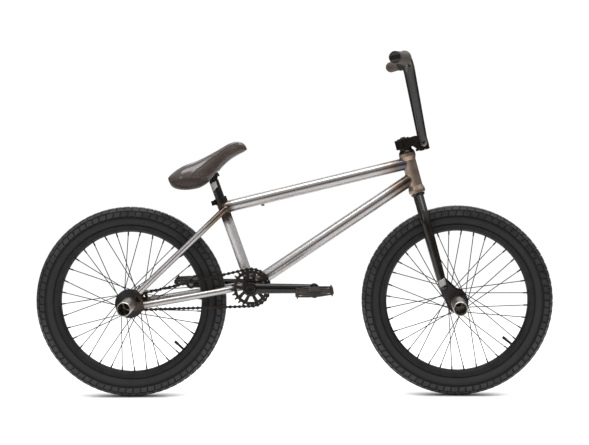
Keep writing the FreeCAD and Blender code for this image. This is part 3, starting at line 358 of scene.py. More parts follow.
def leather(name, tone, worn, creases=520.0, roughness=(0.3, 0.5), coat=0.5):
    """Grained leather: pebbles from cells, fine creases, and a worn sheen."""
    material = new_material(name, Coat_Weight=coat, Coat_Roughness=0.22, Sheen_Weight=0.05,
                            Sheen_Roughness=0.4)
    where = place(material)
    bent = mix(material, 0.012, where, grain_vector(material, 40.0))
    cells = add(material, "TexVoronoi", {"Vector": bent, "Scale": creases}, feature="DISTANCE_TO_EDGE")
    pebbles = ranged(material, cells, 0.0, 0.25)
    clouds = grain(material, 18.0, 5.0, 0.65)
    fine = grain(material, 1500.0, 2.0)
    colour = patched(material, clouds, 0.35, 0.7, 1.0, tone, worn)
    between = ranged(material, pebbles, 0.0, 0.5, 0.35, 0.0)
    colour = mix(material, between, colour, tuple(0.45 * c for c in tone))
    connect(material, colour, "Base Color")
    roughen(material, plus(material, clouds, 0.3, fine), *roughness, (0.45, 0.95))
    bump(material, plus(material, pebbles, 0.3, fine), 0.05 * MM, 0.5)
    return material


# ---- tyres
TYRE_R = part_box("rear_tyre")[1].z / 2
BEAD_R = 203.1 * MM
TYRE_WALL = 3.2 * MM
SIDE_CENTRE = (232.5 * MM, 0.3 * MM)  # of the sidewall's arc, as (radius, half width)
SIDE_RADIUS = 26.6 * MM
RIDGES_AT = (132, 112, 77)  # degrees round that arc
RIDGE_HEIGHT = 0.45 * MM
SHOULDER_STEPS = 9
WHEEL_SEGMENTS = 210
BLOCK_HEIGHT = 2.3 * MM
BLOCK_RISE = 0.97 * BLOCK_HEIGHT  # keeps the blocks just inside the CAD tyre
BLOCK_PITCH = 21.5 * MM
BLOCK_SLANT = 0.42  # of a pitch, reached at the tread's edge
TREAD_EDGE = 40 * MM  # along the carcass from the crown
# each row: inner and outer edge in mm from the crown, offset and block length in pitches
HALF_TREAD = [(1.1, 12.0, 0.5, 0.88), (14.2, 25.4, 0.0, 0.88), (27.6, 40.0, 0.35, 0.84)]
TREAD_ROWS = HALF_TREAD + [(-high, -low, offset, length) for low, high, offset, length in HALF_TREAD]
# each level of a block: inset in mm, share of the block's rise
BLOCK_LEVELS = ((0.0, -0.3), (0.3, 0.75), (0.9, 1.0))
# points round a block: end (0 is the middle), and inner or outer edge
BLOCK_ROUND = ((-1, 0), (0, 0), (1, 0), (1, 1), (0, 1), (-1, 1))
# marks on the sidewall: radii, and half width
PALE_BAND = ((219 * MM,), 11 * MM)
# painted shade: near-black rings where a groove and the rim's edge would lie in shade
PAINTED_GROOVE_SHADE = ((231.5 * MM, 209 * MM), 2.6 * MM)
FINE_LINES = ((227 * MM, 236 * MM, 245 * MM), 0.8 * MM)


def tyre_outline():
    """Outer half profile of the carcass from bead to crown, as (radius, half width)."""
    carcass = TYRE_R - BLOCK_HEIGHT
    line = [(BEAD_R, 14.7 * MM), (206 * MM, 14.9 * MM), (209.6 * MM, 15.1 * MM)]
    for degrees in range(142, 62, -5):
        angle = math.radians(degrees)
        radius = SIDE_CENTRE[0] + SIDE_RADIUS * math.cos(angle)
        width = SIDE_CENTRE[1] + SIDE_RADIUS * math.sin(angle)
        ridge = RIDGE_HEIGHT if degrees in RIDGES_AT else 0.0
        line.append((radius + ridge * math.cos(angle), width + ridge * math.sin(angle)))
    shoulder = line[-1]
    for k in range(1, SHOULDER_STEPS + 1):
        angle = math.pi / 2 * k / SHOULDER_STEPS
        radius = shoulder[0] + (carcass - shoulder[0]) * math.sin(angle)
        line.append((radius, shoulder[1] * math.cos(angle)))
    return line


def tyre_profile():
    """Closed section: the outside from the right bead to the left bead, then the inner wall back."""
    outer = tyre_outline()
    outside = [(r, -y) for r, y in outer] + [(r, y) for r, y in reversed(outer[:-1])]
    inner = [(BEAD_R, 10.8 * MM), (209 * MM, 10.9 * MM)]
    for degrees in range(150, 0, -10):
        angle = math.radians(degrees)
        radius = 230.5 * MM + (27 * MM - TYRE_WALL) * math.cos(angle)
        inner.append((radius, (26.4 * MM - TYRE_WALL) * math.sin(angle)))
    return outside + inner + [(r, -y) for r, y in reversed(inner)]


def along_tread(outline, distance):
    """Point and outward direction on the carcass at a distance along the tread from the crown."""
    path = list(reversed(outline))
    left = abs(distance)
    for (r0, y0), (r1, y1) in zip(path, path[1:]):
        step = math.hypot(r1 - r0, y1 - y0)
        if left <= step:
            share = left / step
            normal = (y1 - y0, -(r1 - r0))
            length = math.hypot(*normal)
            side = 1.0 if distance >= 0 else -1.0
            radius, width = r0 + (r1 - r0) * share, (y0 + (y1 - y0) * share) * side
            return radius, width, normal[0] / length, normal[1] / length * side
        left -= step
    raise ValueError("the tread is longer than the outline")


def block_ring(outline, edges, middle, half, rise, slant):
    """Points round a block at one height. Its two edges are given in mm from the crown."""
    ring = []
    for end, edge in BLOCK_ROUND:
        distance = edges[edge] * MM
        angle = middle + end * half + slant * (abs(distance) / TREAD_EDGE)
        radius, width, out_r, out_y = along_tread(outline, distance)
        radius, width = radius + out_r * rise, width + out_y * rise
        ring.append(Vector((radius * math.cos(angle), width, radius * math.sin(angle))))
    return ring


def tread_blocks(outline):
    """Brick pattern of low blocks on the carcass, each a bevelled cap that follows the tyre's curve."""
    count = round(2 * math.pi * TYRE_R / BLOCK_PITCH)
    step = 2 * math.pi / count
    ring = len(BLOCK_ROUND)
    vertices, faces = [], []
    for low, high, offset, length in TREAD_ROWS:
        for k in range(count):
            first = len(vertices)
            for inset, share in BLOCK_LEVELS:
                half = step * length / 2 - inset * MM / TYRE_R
                vertices += block_ring(outline, (low + inset, high - inset), (k + offset) * step, half,
                                       BLOCK_RISE * share, BLOCK_SLANT * step)
            for level in range(len(BLOCK_LEVELS) - 1):
                faces += bridge(first + level * ring, first + (level + 1) * ring, ring)
            top = first + (len(BLOCK_LEVELS) - 1) * ring
            faces.append((top, top + 1, top + 4, top + 5))
            faces.append((top + 1, top + 2, top + 3, top + 4))
    return vertices, faces


def carcass_rubber(name, joint):
    """Sidewall rubber with a paler band, near-black rings of painted groove shade beside it, and fine moulded
    lines.
    """
    material = rubber(name, (0.009, 0.0072, 0.0062), (0.017, 0.0145, 0.0132))
    plain = sockets_of(material)["Base Color"].links[0].from_socket
    pale, groove_shade, fine = [ring_lines(material, joint["pos_m"], joint["axis"], *mark)
                        for mark in (PALE_BAND, PAINTED_GROOVE_SHADE, FINE_LINES)]
    colour = patched(material, pale, 0.1, 0.6, 0.8, plain, (0.036, 0.034, 0.035))
    # painted shade: the groove and the rim's edge are darkened to near black
    colour = mix(material, combine(material, "MULTIPLY", groove_shade, 0.9), colour, (0.002, 0.002, 0.002))
    colour = mix(material, combine(material, "MULTIPLY", fine, 0.7), colour, (0.034, 0.030, 0.028))
    connect(material, colour, "Base Color")
    return material


def tyre(name, spin, node, tread):
    """One tyre: a hollow carcass with separate tread blocks on it, in one piece."""
    joint = JOINTS[spin]
    materials = [carcass_rubber(name + "_wall", joint), tread]
    matrix = axis_matrix(joint["pos_m"], joint["axis"])
    vertices, faces = lathe(tyre_profile(), WHEEL_SEGMENTS, matrix)
    carcass_faces = len(faces)
    block_vertices, block_faces = tread_blocks(tyre_outline())
    start = len(vertices)
    vertices += [matrix @ v for v in block_vertices]
    faces += [tuple(start + i for i in face) for face in block_faces]
    which = [0] * carcass_faces + [1] * len(block_faces)
    made = new_object(name, vertices, faces, materials, joint["child"], which)
    smooth_by_angle(made, 32)
    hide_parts(node)


# ---- grips
GRIP_R = 15.5 * MM
GROOVE_R = GRIP_R - 1.1 * MM
RIB_PITCH = 3.1 * MM
PLAIN_END = 6 * MM


def grip(name, side, material):
    """Ribbed grip with a mushroom flange, on the straight end of the bar."""
    cloud = points_of("grips")
    cloud = cloud[cloud[:, 1] * side > 0]
    centre, along = long_axis(cloud)
    if along.y * side < 0:
        along = -along
    offsets = cloud - np.array(centre)
    reach = offsets @ np.array(along)
    inner, outer = reach.min(), reach.max()
    radial = np.linalg.norm(offsets - np.outer(reach, np.array(along)), axis=1)
    bore_r = radial.min() * 0.995
    flange_r = radial.max()
    profile = [(bore_r, inner), (flange_r - 1.2 * MM, inner), (flange_r, inner + 1.0 * MM),
               (flange_r - 0.4 * MM, inner + 2.6 * MM), (GRIP_R + 0.6 * MM, inner + 4.2 * MM)]
    y = inner + PLAIN_END
    while y < outer - PLAIN_END:
        profile += [(GROOVE_R, y), (GROOVE_R, y + RIB_PITCH * 0.28),
                    (GRIP_R - 0.2 * MM, y + RIB_PITCH * 0.42), (GRIP_R, y + RIB_PITCH * 0.6),
                    (GRIP_R - 0.2 * MM, y + RIB_PITCH * 0.84)]
        y += RIB_PITCH
    profile += [(GROOVE_R, y), (GRIP_R - 0.3 * MM, y + 0.9 * MM), (GRIP_R, outer - 1.6 * MM),
                (GRIP_R - 0.7 * MM, outer), (bore_r, outer)]
    vertices, faces = lathe(profile, 72, axis_matrix(centre, along))
    made = new_object(name, vertices, faces, [material], "handlebar")
    smooth_by_angle(made, 50)
    return made


# ---- welds
WELD_TOUCH = 0.12 * MM
WELD_SECTORS = 40
WELD_PITCH = 3.0 * MM
RIPPLE_RINGS = 6


def weld_loop(tube_node, other_node, side=0):
    """Outer edge of a coped tube end where it lies on its neighbour, as evenly spaced row-frame points."""
    cloud = points_of(tube_node)
    if side:
        cloud = cloud[cloud[:, 1] * side > 0]
    tree = skin_tree(NODES[other_node])
    touching = np.array([point for point in cloud if tree.find_nearest(Vector(point))[3] < WELD_TOUCH])
    centre = touching.mean(axis=0)
    axis = long_axis(cloud)[1]
    across = Vector((0, 1, 0)).cross(axis).normalized()
    other = axis.cross(across).normalized()
    bins = {}
    for point in touching:
        offset = Vector(point) - Vector(centre)
        u, v = offset.dot(across), offset.dot(other)
        sector = int((math.atan2(v, u) + math.pi) / (2 * math.pi) * WELD_SECTORS)
        radius = math.hypot(u, v)
        if sector not in bins or radius > bins[sector][0]:
            bins[sector] = (radius, Vector(point))
    return [bins[sector][1] for sector in sorted(bins)]


def bead(loop, radius):
    """Rippled weld bead round a closed loop of points, like a row of overlapping coins."""
    closed = loop + [loop[0]]
    lengths = [(b - a).length for a, b in zip(closed, closed[1:])]
    total = sum(lengths)
    rings = max(8, round(total / WELD_PITCH)) * RIPPLE_RINGS
    sides = 10
    samples = []
    for k in range(rings):
        target = total * k / rings
        for (a, b), length in zip(zip(closed, closed[1:]), lengths):
            if target <= length:
                samples.append(a.lerp(b, target / length))
                break
            target -= length
    centre = sum(samples, Vector((0, 0, 0))) / len(samples)
    for _ in range(3):
        samples = [(samples[k - 1] + samples[k] * 2 + samples[(k + 1) % rings]) / 4 for k in range(rings)]
    vertices, faces = [], []
    for k, point in enumerate(samples):
        ahead = (samples[(k + 1) % rings] - samples[k - 1]).normalized()
        arm = point - centre
        outward = (arm - ahead * arm.dot(ahead)).normalized()
        upward = ahead.cross(outward)
        phase = (k % RIPPLE_RINGS) / RIPPLE_RINGS
        thick = radius * (0.80 + 0.26 * math.sqrt(math.sin(math.pi * (0.12 + 0.76 * phase))))
        for s in range(sides):
            angle = 2 * math.pi * s / sides
            vertices.append(point + (outward * math.cos(angle) + upward * math.sin(angle)) * thick)
    for k in range(rings):
        faces += bridge(k * sides, ((k + 1) % rings) * sides, sides)
    return vertices, faces


def weld(name, tube_node, other_node, material, side=0, radius=1.9 * MM):
    """Bead where a frame tube ends on its neighbour, on one side of the bike if that is given."""
    vertices, faces = bead(weld_loop(tube_node, other_node, side), radius)
    new_object(name, vertices, faces, [material], "frame")


# ---- seat
SEAT_RINGS = 84
SEAT_AROUND = 88
SEAT_SWELL = 2.2 * MM
SEAT_PRESSURE = 4.0
SEAM_DEPTH = 1.3 * MM
SEAM_WIDTH = 1.5 * MM
SEAM_HOLD = 6 * MM  # how far beside a seam the cover is held down
UNDERSIDE = -0.55  # faces that point down by more than this are held too
NOSE_FROM = 26 * MM  # in front of this the cover goes over the base
BASE_COVER = 0.7 * MM  # and by this much
RAY_START = 0.12  # from the middle, outside the seat on every side
CLOTH_FRAMES = 20
CLOTH = {"quality": 6, "mass": 0.3, "tension_stiffness": 18, "compression_stiffness": 18,
         "shear_stiffness": 8, "bending_stiffness": 1.5, "use_pressure": True,
         "uniform_pressure_force": SEAT_PRESSURE}
# seams in the seat's own side view, in mm from the pivot: along the seat, and up from it
REAR_PANEL_SEAM = [(-107, 49), (-90, 44), (-72, 37.5), (-47, 27.5), (-25, 14.5), (-14, 3.5), (-11, -4.5)]
TOP_SEAM = [(-45, 31.5), (-27, 39.5), (-8, 42), (17, 46.5), (65, 51.5), (89, 52), (109, 47)]
STITCH_LENGTH = 2.6 * MM
STITCH_GAP = 1.5 * MM
STITCH_R = 0.38 * MM
STITCH_SIDES = 6
STITCH_OFFSET = 3.0 * MM  # from its seam
# each ring of a stitch: share of its length, share of its thickness
STITCH_SHAPE = ((0.0, 0.35), (0.14, 0.85), (0.5, 1.0), (0.86, 0.85), (1.0, 0.35))


def seat_axes():
    """The seat's pivot, and its forward and up directions from the cushion's long axis."""
    cloud = points_of("seat_cushion")
    forward = long_axis(cloud)[1]
    if forward.x < 0:
        forward = -forward
    forward = Vector((forward.x, 0, forward.z)).normalized()
    up = Vector((-forward.z, 0, forward.x))
    return Vector(JOINTS["seat_tilt"]["pos_m"]), forward, up


def seat_rings():
    """Clean quad skin of the cushion: rings of points found by rays from outside onto the CAD cushion.
    Towards the nose the skin also goes over the edge of the base, which lies flush in the padding there."""
    tree, base_tree = skin_tree(NODES["seat_cushion"]), skin_tree(NODES["seat_shell"])
    pivot, forward, up = seat_axes()
    side = Vector((0, 1, 0))
    local = points_of("seat_cushion") - np.array(pivot)
    along = local @ np.array(forward)
    height = local @ np.array(up)
    low, high = along.min(), along.max()
    rings = []
    for k in range(SEAT_RINGS):
        share = 0.5 - 0.5 * math.cos(math.pi * (0.02 + 0.96 * (k + 0.5) / SEAT_RINGS))
        x = low + (high - low) * share
        near = np.abs(along - x) < 6 * MM
        middle = (height[near].min() + height[near].max()) / 2
        ring = []
        for s in range(SEAT_AROUND):
            angle = 2 * math.pi * s / SEAT_AROUND
            out = side * math.cos(angle) + up * math.sin(angle)
            start = pivot + forward * x + up * middle + out * RAY_START
            point = tree.ray_cast(start, -out)[0]
            base = base_tree.ray_cast(start, -out)[0] if x > NOSE_FROM else None
            if base and (not point or (base - start).length < (point - start).length + BASE_COVER):
                point = base + out * BASE_COVER
            ring.append(point)
        if all(ring):
            rings.append(ring)
    return rings


def skin_of(rings):
    """Skin over a row of rings, closed by a fan at each end."""
    vertices = [point for ring in rings for point in ring]
    faces = []
    for k in range(len(rings) - 1):
        faces += bridge(k * SEAT_AROUND, (k + 1) * SEAT_AROUND, SEAT_AROUND, flipped=True)
    for ring_at, flip in ((0, False), (len(rings) - 1, True)):
        hub = len(vertices)
        vertices.append(sum(rings[ring_at], Vector((0, 0, 0))) / SEAT_AROUND)
        first = ring_at * SEAT_AROUND
        for s in range(SEAT_AROUND):
            corners = (hub, first + s, first + (s + 1) % SEAT_AROUND)
            faces.append(tuple(reversed(corners)) if flip else corners)
    return vertices, faces


def swell(obj, held):
    """Short cloth run: the cover fills out between the held points, by no more than the swell."""
    rest = [v.co.copy() for v in obj.data.vertices]
    group = obj.vertex_groups.new(name="held")
    for index, weight in held.items():
        group.add([index], weight, "REPLACE")
    cloth = obj.modifiers.new("cover", "CLOTH")
    for name, value in CLOTH.items():
        setattr(cloth.settings, name, value)
    cloth.settings.effector_weights.gravity = 0
    cloth.settings.vertex_group_mass = "held"
    cloth.point_cache.frame_start = 1
    cloth.point_cache.frame_end = CLOTH_FRAMES
    scene = bpy.context.scene
    for frame_number in range(1, CLOTH_FRAMES + 1):
        scene.frame_set(frame_number)
    shown = obj.evaluated_get(bpy.context.evaluated_depsgraph_get())
    moved = [v.co.copy() for v in shown.data.vertices]
    obj.modifiers.remove(cloth)
    obj.vertex_groups.clear()
    scene.frame_set(1)
    for vertex, start, end in zip(obj.data.vertices, rest, moved):
        step = end - start
        if step.length > SEAT_SWELL:
            step = step.normalized() * SEAT_SWELL
        vertex.co = start + step


def distance_to(point, path):
    """Shortest distance from a point to a run of points."""
    best = math.inf
    for a, b in zip(path, path[1:]):
        run = b - a
        share = max(0.0, min(1.0, (point - a).dot(run) / run.length_squared))
        best = min(best, (point - (a + run * share)).length)
    return best


def smooth_path(points, per_span=8):
    """Catmull-Rom points through a few chosen ones."""
    padded = [points[0] * 2 - points[1]] + points + [points[-1] * 2 - points[-2]]
    path = []
    for a, b, c, d in zip(padded, padded[1:], padded[2:], padded[3:]):
        for k in range(per_span):
            t = k / per_span
            path.append(0.5 * (2 * b + (c - a) * t + (2 * a - 5 * b + 4 * c - d) * t * t
                               + (3 * b - a - 3 * c + d) * t ** 3))
    return path + [points[-1]]


def seam_on_skin(outline, side, tree):
    """Projects a side-view seam onto one flank of the cover."""
    pivot, forward, up = seat_axes()
    path = []
    for point in smooth_path([Vector((x, z, 0)) * MM for x, z in outline]):
        start = pivot + forward * point.x + up * point.y + Vector((0, side * RAY_START, 0))
        point = tree.ray_cast(start, Vector((0, -side, 0)))[0]
        if point:
            path.append(point)
    return path


def seams_on(tree):
    """Rear and top seam on the right flank, then on the left."""
    return [seam_on_skin(outline, side, tree) for side in (-1, 1) for outline in (REAR_PANEL_SEAM, TOP_SEAM)]


def point_along(path, lengths, distance):
    """Point and direction at a distance along a run of points."""
    for (a, b), length in zip(zip(path, path[1:]), lengths):
        if distance <= length:
            return a.lerp(b, distance / length), (b - a).normalized()
        distance -= length
    return path[-1], (path[-1] - path[-2]).normalized()


def beside_seam(point, tangent, side_of, tree):
    """Point on the leather next to a point of a seam."""
    normal = tree.find_nearest(point)[1]
    beside = tangent.cross(normal).normalized() * STITCH_OFFSET * side_of
    foot = tree.find_nearest(point + beside)
    return foot[0] + foot[1] * STITCH_R * 0.35


def stitches(name, seams, sides_of, tree, thread):
    """Row of short raised stitches along each seam, to the given side of it, lying on the leather."""
    vertices, faces = [], []
    for path, side_of in zip(seams, sides_of):
        lengths = [(b - a).length for a, b in zip(path, path[1:])]
        start = STITCH_GAP
        while start + STITCH_LENGTH < sum(lengths):
            ends = [point_along(path, lengths, at) for at in (start, start + STITCH_LENGTH)]
            near, far = [beside_seam(point, tangent, side_of, tree) for point, tangent in ends]
            start += STITCH_LENGTH + STITCH_GAP
            run = far - near
            if run.length < 0.5 * MM:
                continue
            ahead = run.normalized()
            across = ahead.cross(tree.find_nearest(near)[1]).normalized()
            upward = across.cross(ahead)
            first = len(vertices)
            for share, thick in STITCH_SHAPE:
                for s in range(STITCH_SIDES):
                    angle = 2 * math.pi * s / STITCH_SIDES
                    spread = across * math.cos(angle) + upward * math.sin(angle)
                    vertices.append(near + run * share + spread * STITCH_R * thick)
            for k in range(len(STITCH_SHAPE) - 1):
                faces += bridge(first + k * STITCH_SIDES, first + (k + 1) * STITCH_SIDES, STITCH_SIDES)
            last = first + (len(STITCH_SHAPE) - 1) * STITCH_SIDES
            faces.append(tuple(first + s for s in reversed(range(STITCH_SIDES))))
            faces.append(tuple(last + s for s in range(STITCH_SIDES)))
    new_object(name, vertices, faces, [thread], "seat")


def seat_cover(top_leather, side_leather, thread):
    """Sewn cover in place of the cushion: filled out as cloth between its seams, grooved and stitched."""
    vertices, faces = skin_of(seat_rings())
    cover = new_object("seat_cover", vertices, faces, [top_leather, side_leather], "seat")
    seams = seams_on(skin_tree(cover))
    pivot, forward, up = seat_axes()
    held = {}
    for index, vertex in enumerate(cover.data.vertices):
        beside = min(distance_to(vertex.co, seam) for seam in seams)
        weight = 1.0 if vertex.normal.dot(up) < UNDERSIDE else max(0.0, 1.0 - beside / SEAM_HOLD)
        if weight > 0.02:
            held[index] = weight
    swell(cover, held)
    refine = cover.modifiers.new("refine", "SUBSURF")
    refine.levels = refine.render_levels = 1
    refined = bpy.data.meshes.new_from_object(cover.evaluated_get(bpy.context.evaluated_depsgraph_get()))
    cover.modifiers.clear()
    cover.data = refined
    seams = seams_on(skin_tree(cover))
    for vertex in cover.data.vertices:
        beside = min(distance_to(vertex.co, seam) for seam in seams)
        groove = math.exp(-(beside / SEAM_WIDTH) ** 2)
        if groove > 0.01:
            vertex.co = vertex.co - vertex.normal * SEAM_DEPTH * groove
    paint_rear_panel(cover, pivot, forward, up)
    stitches("seat_stitches", seams, (1, -1, -1, 1), skin_tree(cover), thread)
    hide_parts("seat_cushion")


def paint_rear_panel(cover, pivot, forward, up):
    """Faces below the rear seam take the coarser leather."""
    xs = [x * MM for x, _ in REAR_PANEL_SEAM]
    zs = [z * MM for _, z in REAR_PANEL_SEAM]
    indices = []
    for polygon in cover.data.polygons:
        local = polygon.center - pivot
        x, z = local.dot(forward), local.dot(up)
        below = x < xs[-1] and z < np.interp(x, xs, zs)
        indices.append(1 if below else 0)
    cover.data.polygons.foreach_set("material_index", indices)


# ---- plain label patches
PATCH_LAYERS = (0.02 * MM, 0.16 * MM)  # back and face of a patch, above the tube


def label_patch(name, axis_point, axis, radius, span, angles, body, material, skew=0.0,
                across=Vector((0, -1, 0))):
    """Thin patch wrapped on a round tube: span along the axis, angles round it, ends skewed to a slant."""
    other = axis.cross(across).normalized()
    columns, rows = 16, 10
    vertices, faces = [], []
    for layer in PATCH_LAYERS:
        for row in range(rows + 1):
            for column in range(columns + 1):
                share = column / columns
                angle = angles[0] + (angles[1] - angles[0]) * share
                distance = span[0] + (span[1] - span[0]) * row / rows + skew * (share - 0.5)
                spread = across * math.cos(angle) + other * math.sin(angle)
                vertices.append(axis_point + axis * distance + spread * (radius + layer))
    width = columns + 1
    top = (rows + 1) * width
    for row in range(rows):
        for column in range(columns):
            a = row * width + column
            faces.append((top + a, top + a + 1, top + a + width + 1, top + a + width))
            faces.append((a + width, a + width + 1, a + 1, a))
    edge = list(range(columns + 1)) + [r * width + columns for r in range(1, rows + 1)]
    edge += [rows * width + c for c in reversed(range(columns))]
    edge += [r * width for r in reversed(range(1, rows))]
    for a, b in zip(edge, edge[1:] + edge[:1]):
        faces.append((a, b, top + b, top + a))
    new_object(name, vertices, faces, [material], body)


# ---- stage
FLOOR_GLOW = 0.66  # the floor's own light as the camera sees it
FLOOR_BOUNCE = 0.25  # and as it falls on the bike
FLOOR_RADIUS = 3.2
# what the metal mirrors: heights from straight down (0) to straight up (1), and colours
SKY_ENDS = ((0.36, (0.30, 0.295, 0.29)), (0.78, (0.52, 0.53, 0.55)))
SKY_MIDDLE = ((0.46, (0.055, 0.0506, 0.0462)), (0.57, (0.085, 0.0782, 0.0714)))
CAMERA_AT = (0.0181, -3.7755, 0.7155)
CAMERA_LENS = 84.94
CAMERA_YAW, CAMERA_PITCH, CAMERA_ROLL = 0.2425, -3.649, -0.2525  # degrees


def floor():
    """Pale round floor that fades into the white surroundings, with a painted contact shadow under the bike.
    """
    rings, sides = 24, 96
    vertices = [Vector((0, 0, 0))]
    for r in range(1, rings + 1):
        for s in range(sides):
            angle = 2 * math.pi * s / sides
            vertices.append(Vector((math.cos(angle), math.sin(angle), 0)) * FLOOR_RADIUS * r / rings)
    faces = [(0, 1 + s, 1 + (s + 1) % sides) for s in range(sides)]
    for r in range(rings - 1):
        faces += bridge(1 + r * sides, 1 + (r + 1) * sides, sides, flipped=True)
    mesh = bpy.data.meshes.new("floor")
    mesh.from_pydata([tuple(v) for v in vertices], [], faces)
    made = bpy.data.objects.new("floor", mesh)
    made.location = ((cad_low.x + cad_high.x) / 2, (cad_low.y + cad_high.y) / 2, cad_low.z - 0.3 * MM)
    bpy.context.scene.collection.objects.link(made)
    material = new_material("floor_paint", Roughness=0.7, Emission_Color=(1, 1, 1, 1))
    seen = add(material, "LightPath", {}, "Is Camera Ray")
    glow = ranged(material, seen, 0.0, 1.0, FLOOR_BOUNCE, FLOOR_GLOW)
    # painted contact shadow: ambient occlusion dims the floor's glow where the bike is near
    painted_shadow_ao = add(material, "AmbientOcclusion", {"Distance": 0.05}, "AO", samples=8)
    strength = combine(material, "MULTIPLY", glow, ranged(material, painted_shadow_ao, 0.3, 0.8))
    connect(material, strength, "Emission Strength")
    cloudy = grain(material, 1.3, 2.0)
    connect(material, mix(material, cloudy, (0.86, 0.86, 0.86), (0.9, 0.9, 0.9)), "Base Color")
    distance = add(material, "VectorMath", {0: row_coords(material)}, "Value", operation="LENGTH")
    connect(material, ranged(material, distance, 1.1, FLOOR_RADIUS * 0.95, 1.0, 0.0), "Alpha")
    mesh.materials.append(material)


def area_light(name, location, target, size, power):
    """White rectangular light that points at a target."""
    data = bpy.data.lights.new(name, "AREA")
    data.shape = "RECTANGLE"
    data.size, data.size_y = size
    data.energy = power
    made = bpy.data.objects.new(name, data)
    made.location = location
    made.rotation_euler = (Vector(target) - Vector(location)).to_track_quat("-Z", "Y").to_euler()
    bpy.context.scene.collection.objects.link(made)


def studio():
    """White surroundings with a darker horizon for the metal to mirror, and a large soft light overhead."""
    world = bpy.data.worlds.new("studio")
    bpy.context.scene.world = world
    world.use_nodes = True
    world.node_tree.nodes.clear()
    height = add(world, "SeparateXYZ", {0: add(world, "TexCoord", {}, "Generated")}, "Z")
    mirrored = add(world, "ValToRGB", {0: ranged(world, height, -1.0, 1.0)})
    ramp = mirrored.node.color_ramp
    for stop, (position, colour) in zip(ramp.elements, SKY_ENDS):
        stop.position = position
        stop.color = (*colour, 1)
    for position, colour in SKY_MIDDLE:
        ramp.elements.new(position).color = (*colour, 1)
    shown = mix(world, add(world, "LightPath", {}, "Is Camera Ray"), mirrored, (1.02, 1.02, 1.02))
    background = add(world, "Background", {"Color": shown, "Strength": 1.0})
    output = world.node_tree.nodes.new("ShaderNodeOutputWorld")
    world.node_tree.links.new(background, output.inputs[0])
    middle = (cad_low + cad_high) / 2
    area_light("overhead", (middle.x, middle.y - 0.7, 2.9), (middle.x, middle.y, 0.3), (3.4, 1.3), 52)
    area_light("front_left", (middle.x - 2.2, middle.y - 2.8, 1.6), (middle.x, 0, 0.4), (1.0, 1.6), 10)
    area_light("behind", (middle.x + 0.5, middle.y + 2.4, 2.2), (middle.x, 0, 0.4), (3.0, 1.0), 14)


def camera():
    """Standing level with the bars on the drive side, looking slightly down."""
    data = bpy.data.cameras.new("camera")
    data.sensor_width = 36.0
    data.lens = CAMERA_LENS
    made = bpy.data.objects.new("camera", data)
    turns = ((CAMERA_YAW, "Z"), (90 + CAMERA_PITCH, "X"), (CAMERA_ROLL, "Z"))
    yaw, pitch, roll = [Matrix.Rotation(math.radians(degrees), 4, axis) for degrees, axis in turns]
    made.matrix_world = Matrix.Translation(CAMERA_AT) @ (yaw @ pitch @ roll)
    bpy.context.scene.collection.objects.link(made)
    bpy.context.scene.camera = made


# ---- dressing the frame
def dress(material, *names):
    """Gives CAD nodes a material."""
    for name in names:
        mesh = NODES[name].data
        mesh.materials.clear()
        mesh.materials.append(material)
        smooth_by_angle(NODES[name])


def centre_of(node):
    """Middle of a node's box."""
    low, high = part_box(node)
    return (low + high) / 2


def axis_of(node):
    """Direction of a tube."""
    return long_axis(points_of(node))[1]


def end_of(node, toward):
    """The point on a tube's long axis at its end nearest to another point."""
    cloud = points_of(node)
    centre, axis = long_axis(cloud)
    reach = (cloud - np.array(centre)) @ np.array(axis)
    ends = [centre + axis * reach.min(), centre + axis * reach.max()]
    return min(ends, key=lambda end: (end - toward).length)


def dress_frame():
    """Bare steel tubes, with heat tints beside their welds, and painted shade on the bottom bracket shell."""
    head_centre, head_axis = long_axis(points_of("head_tube"))
    seat_top = end_of("seat_tube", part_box("seat_tube")[1] + Vector((-1, 0, 1)))
    cluster = end_of("top_tube", seat_top)
    top_front = end_of("top_tube", head_centre)
    down_front = end_of("down_tube", head_centre)
    low_end = end_of("head_tube", head_centre - Vector((0, 0, 1)))
    shell = centre_of("bottom_bracket_shell")
    dropout = Vector((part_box("rear_dropouts")[0].x, 0, centre_of("rear_dropouts").z))
    stay_axis = (centre_of("seat_stays") - cluster).normalized()
    shell_heat = (shell, 0.036, 0.02, BROWN)
    worn = [(head_centre + head_axis * s * 0.021, 0.010, 0.018, (0.62, 0.52, 0.43)) for s in (-1, 0.9)]
    top_heat = [(top_front, 0.036, 0.05, STRAW), (top_front, 0.018, 0.03, BLUE),
                (cluster, 0.022, 0.016, BROWN)]
    down_heat = [(down_front, 0.045, 0.045, STRAW), (down_front, 0.024, 0.022, BROWN), shell_heat]
    seat_heat = [(cluster, 0.026, 0.014, BROWN), (shell, 0.03, 0.02, BROWN)]
    head_heat = worn + [(low_end, 0.016, 0.008, (0.80, 0.78, 0.74))]
    stay_heat = [(cluster, 0.05, 0.05, STRAW), (cluster, 0.024, 0.012, BROWN)]
    chainstay_heat = [(dropout, 0.075, 0.03, STRAW), shell_heat]
    dress(raw_steel("top_tube_steel", axis_of("top_tube"), top_heat), "top_tube")
    dress(raw_steel("down_tube_steel", axis_of("down_tube"), down_heat), "down_tube")
    # the seat tube's near-white base is partly painted light, to brighten a tube that mirrors the dark
    # horizon; its rougher, more scratched finish is its own
    dress(raw_steel("seat_tube_steel", axis_of("seat_tube"), seat_heat, (0.94, 0.92, 0.91), 0.5, (0.42, 0.6)),
          "seat_tube")
    dress(raw_steel("head_tube_steel", head_axis, head_heat, (0.48, 0.36, 0.27), 0.6, (0.32, 0.48)),
          "head_tube")
    dress(raw_steel("seat_stay_steel", stay_axis, stay_heat), "seat_stays")
    dress(raw_steel("chainstay_steel", Vector((1, 0, 0.17)).normalized(), chainstay_heat), "chainstays")
    dress(raw_steel("dropout_steel", Vector((1, 0, 0)), (), (0.10, 0.072, 0.055)), "rear_dropouts")
    # the shell's dark brown base is painted shade: it lies behind the sprocket and cranks
    dress(raw_steel("shell_steel_painted_shade", Vector((0, 1, 0)), (), (0.10, 0.08, 0.068)), "bottom_bracket_shell")


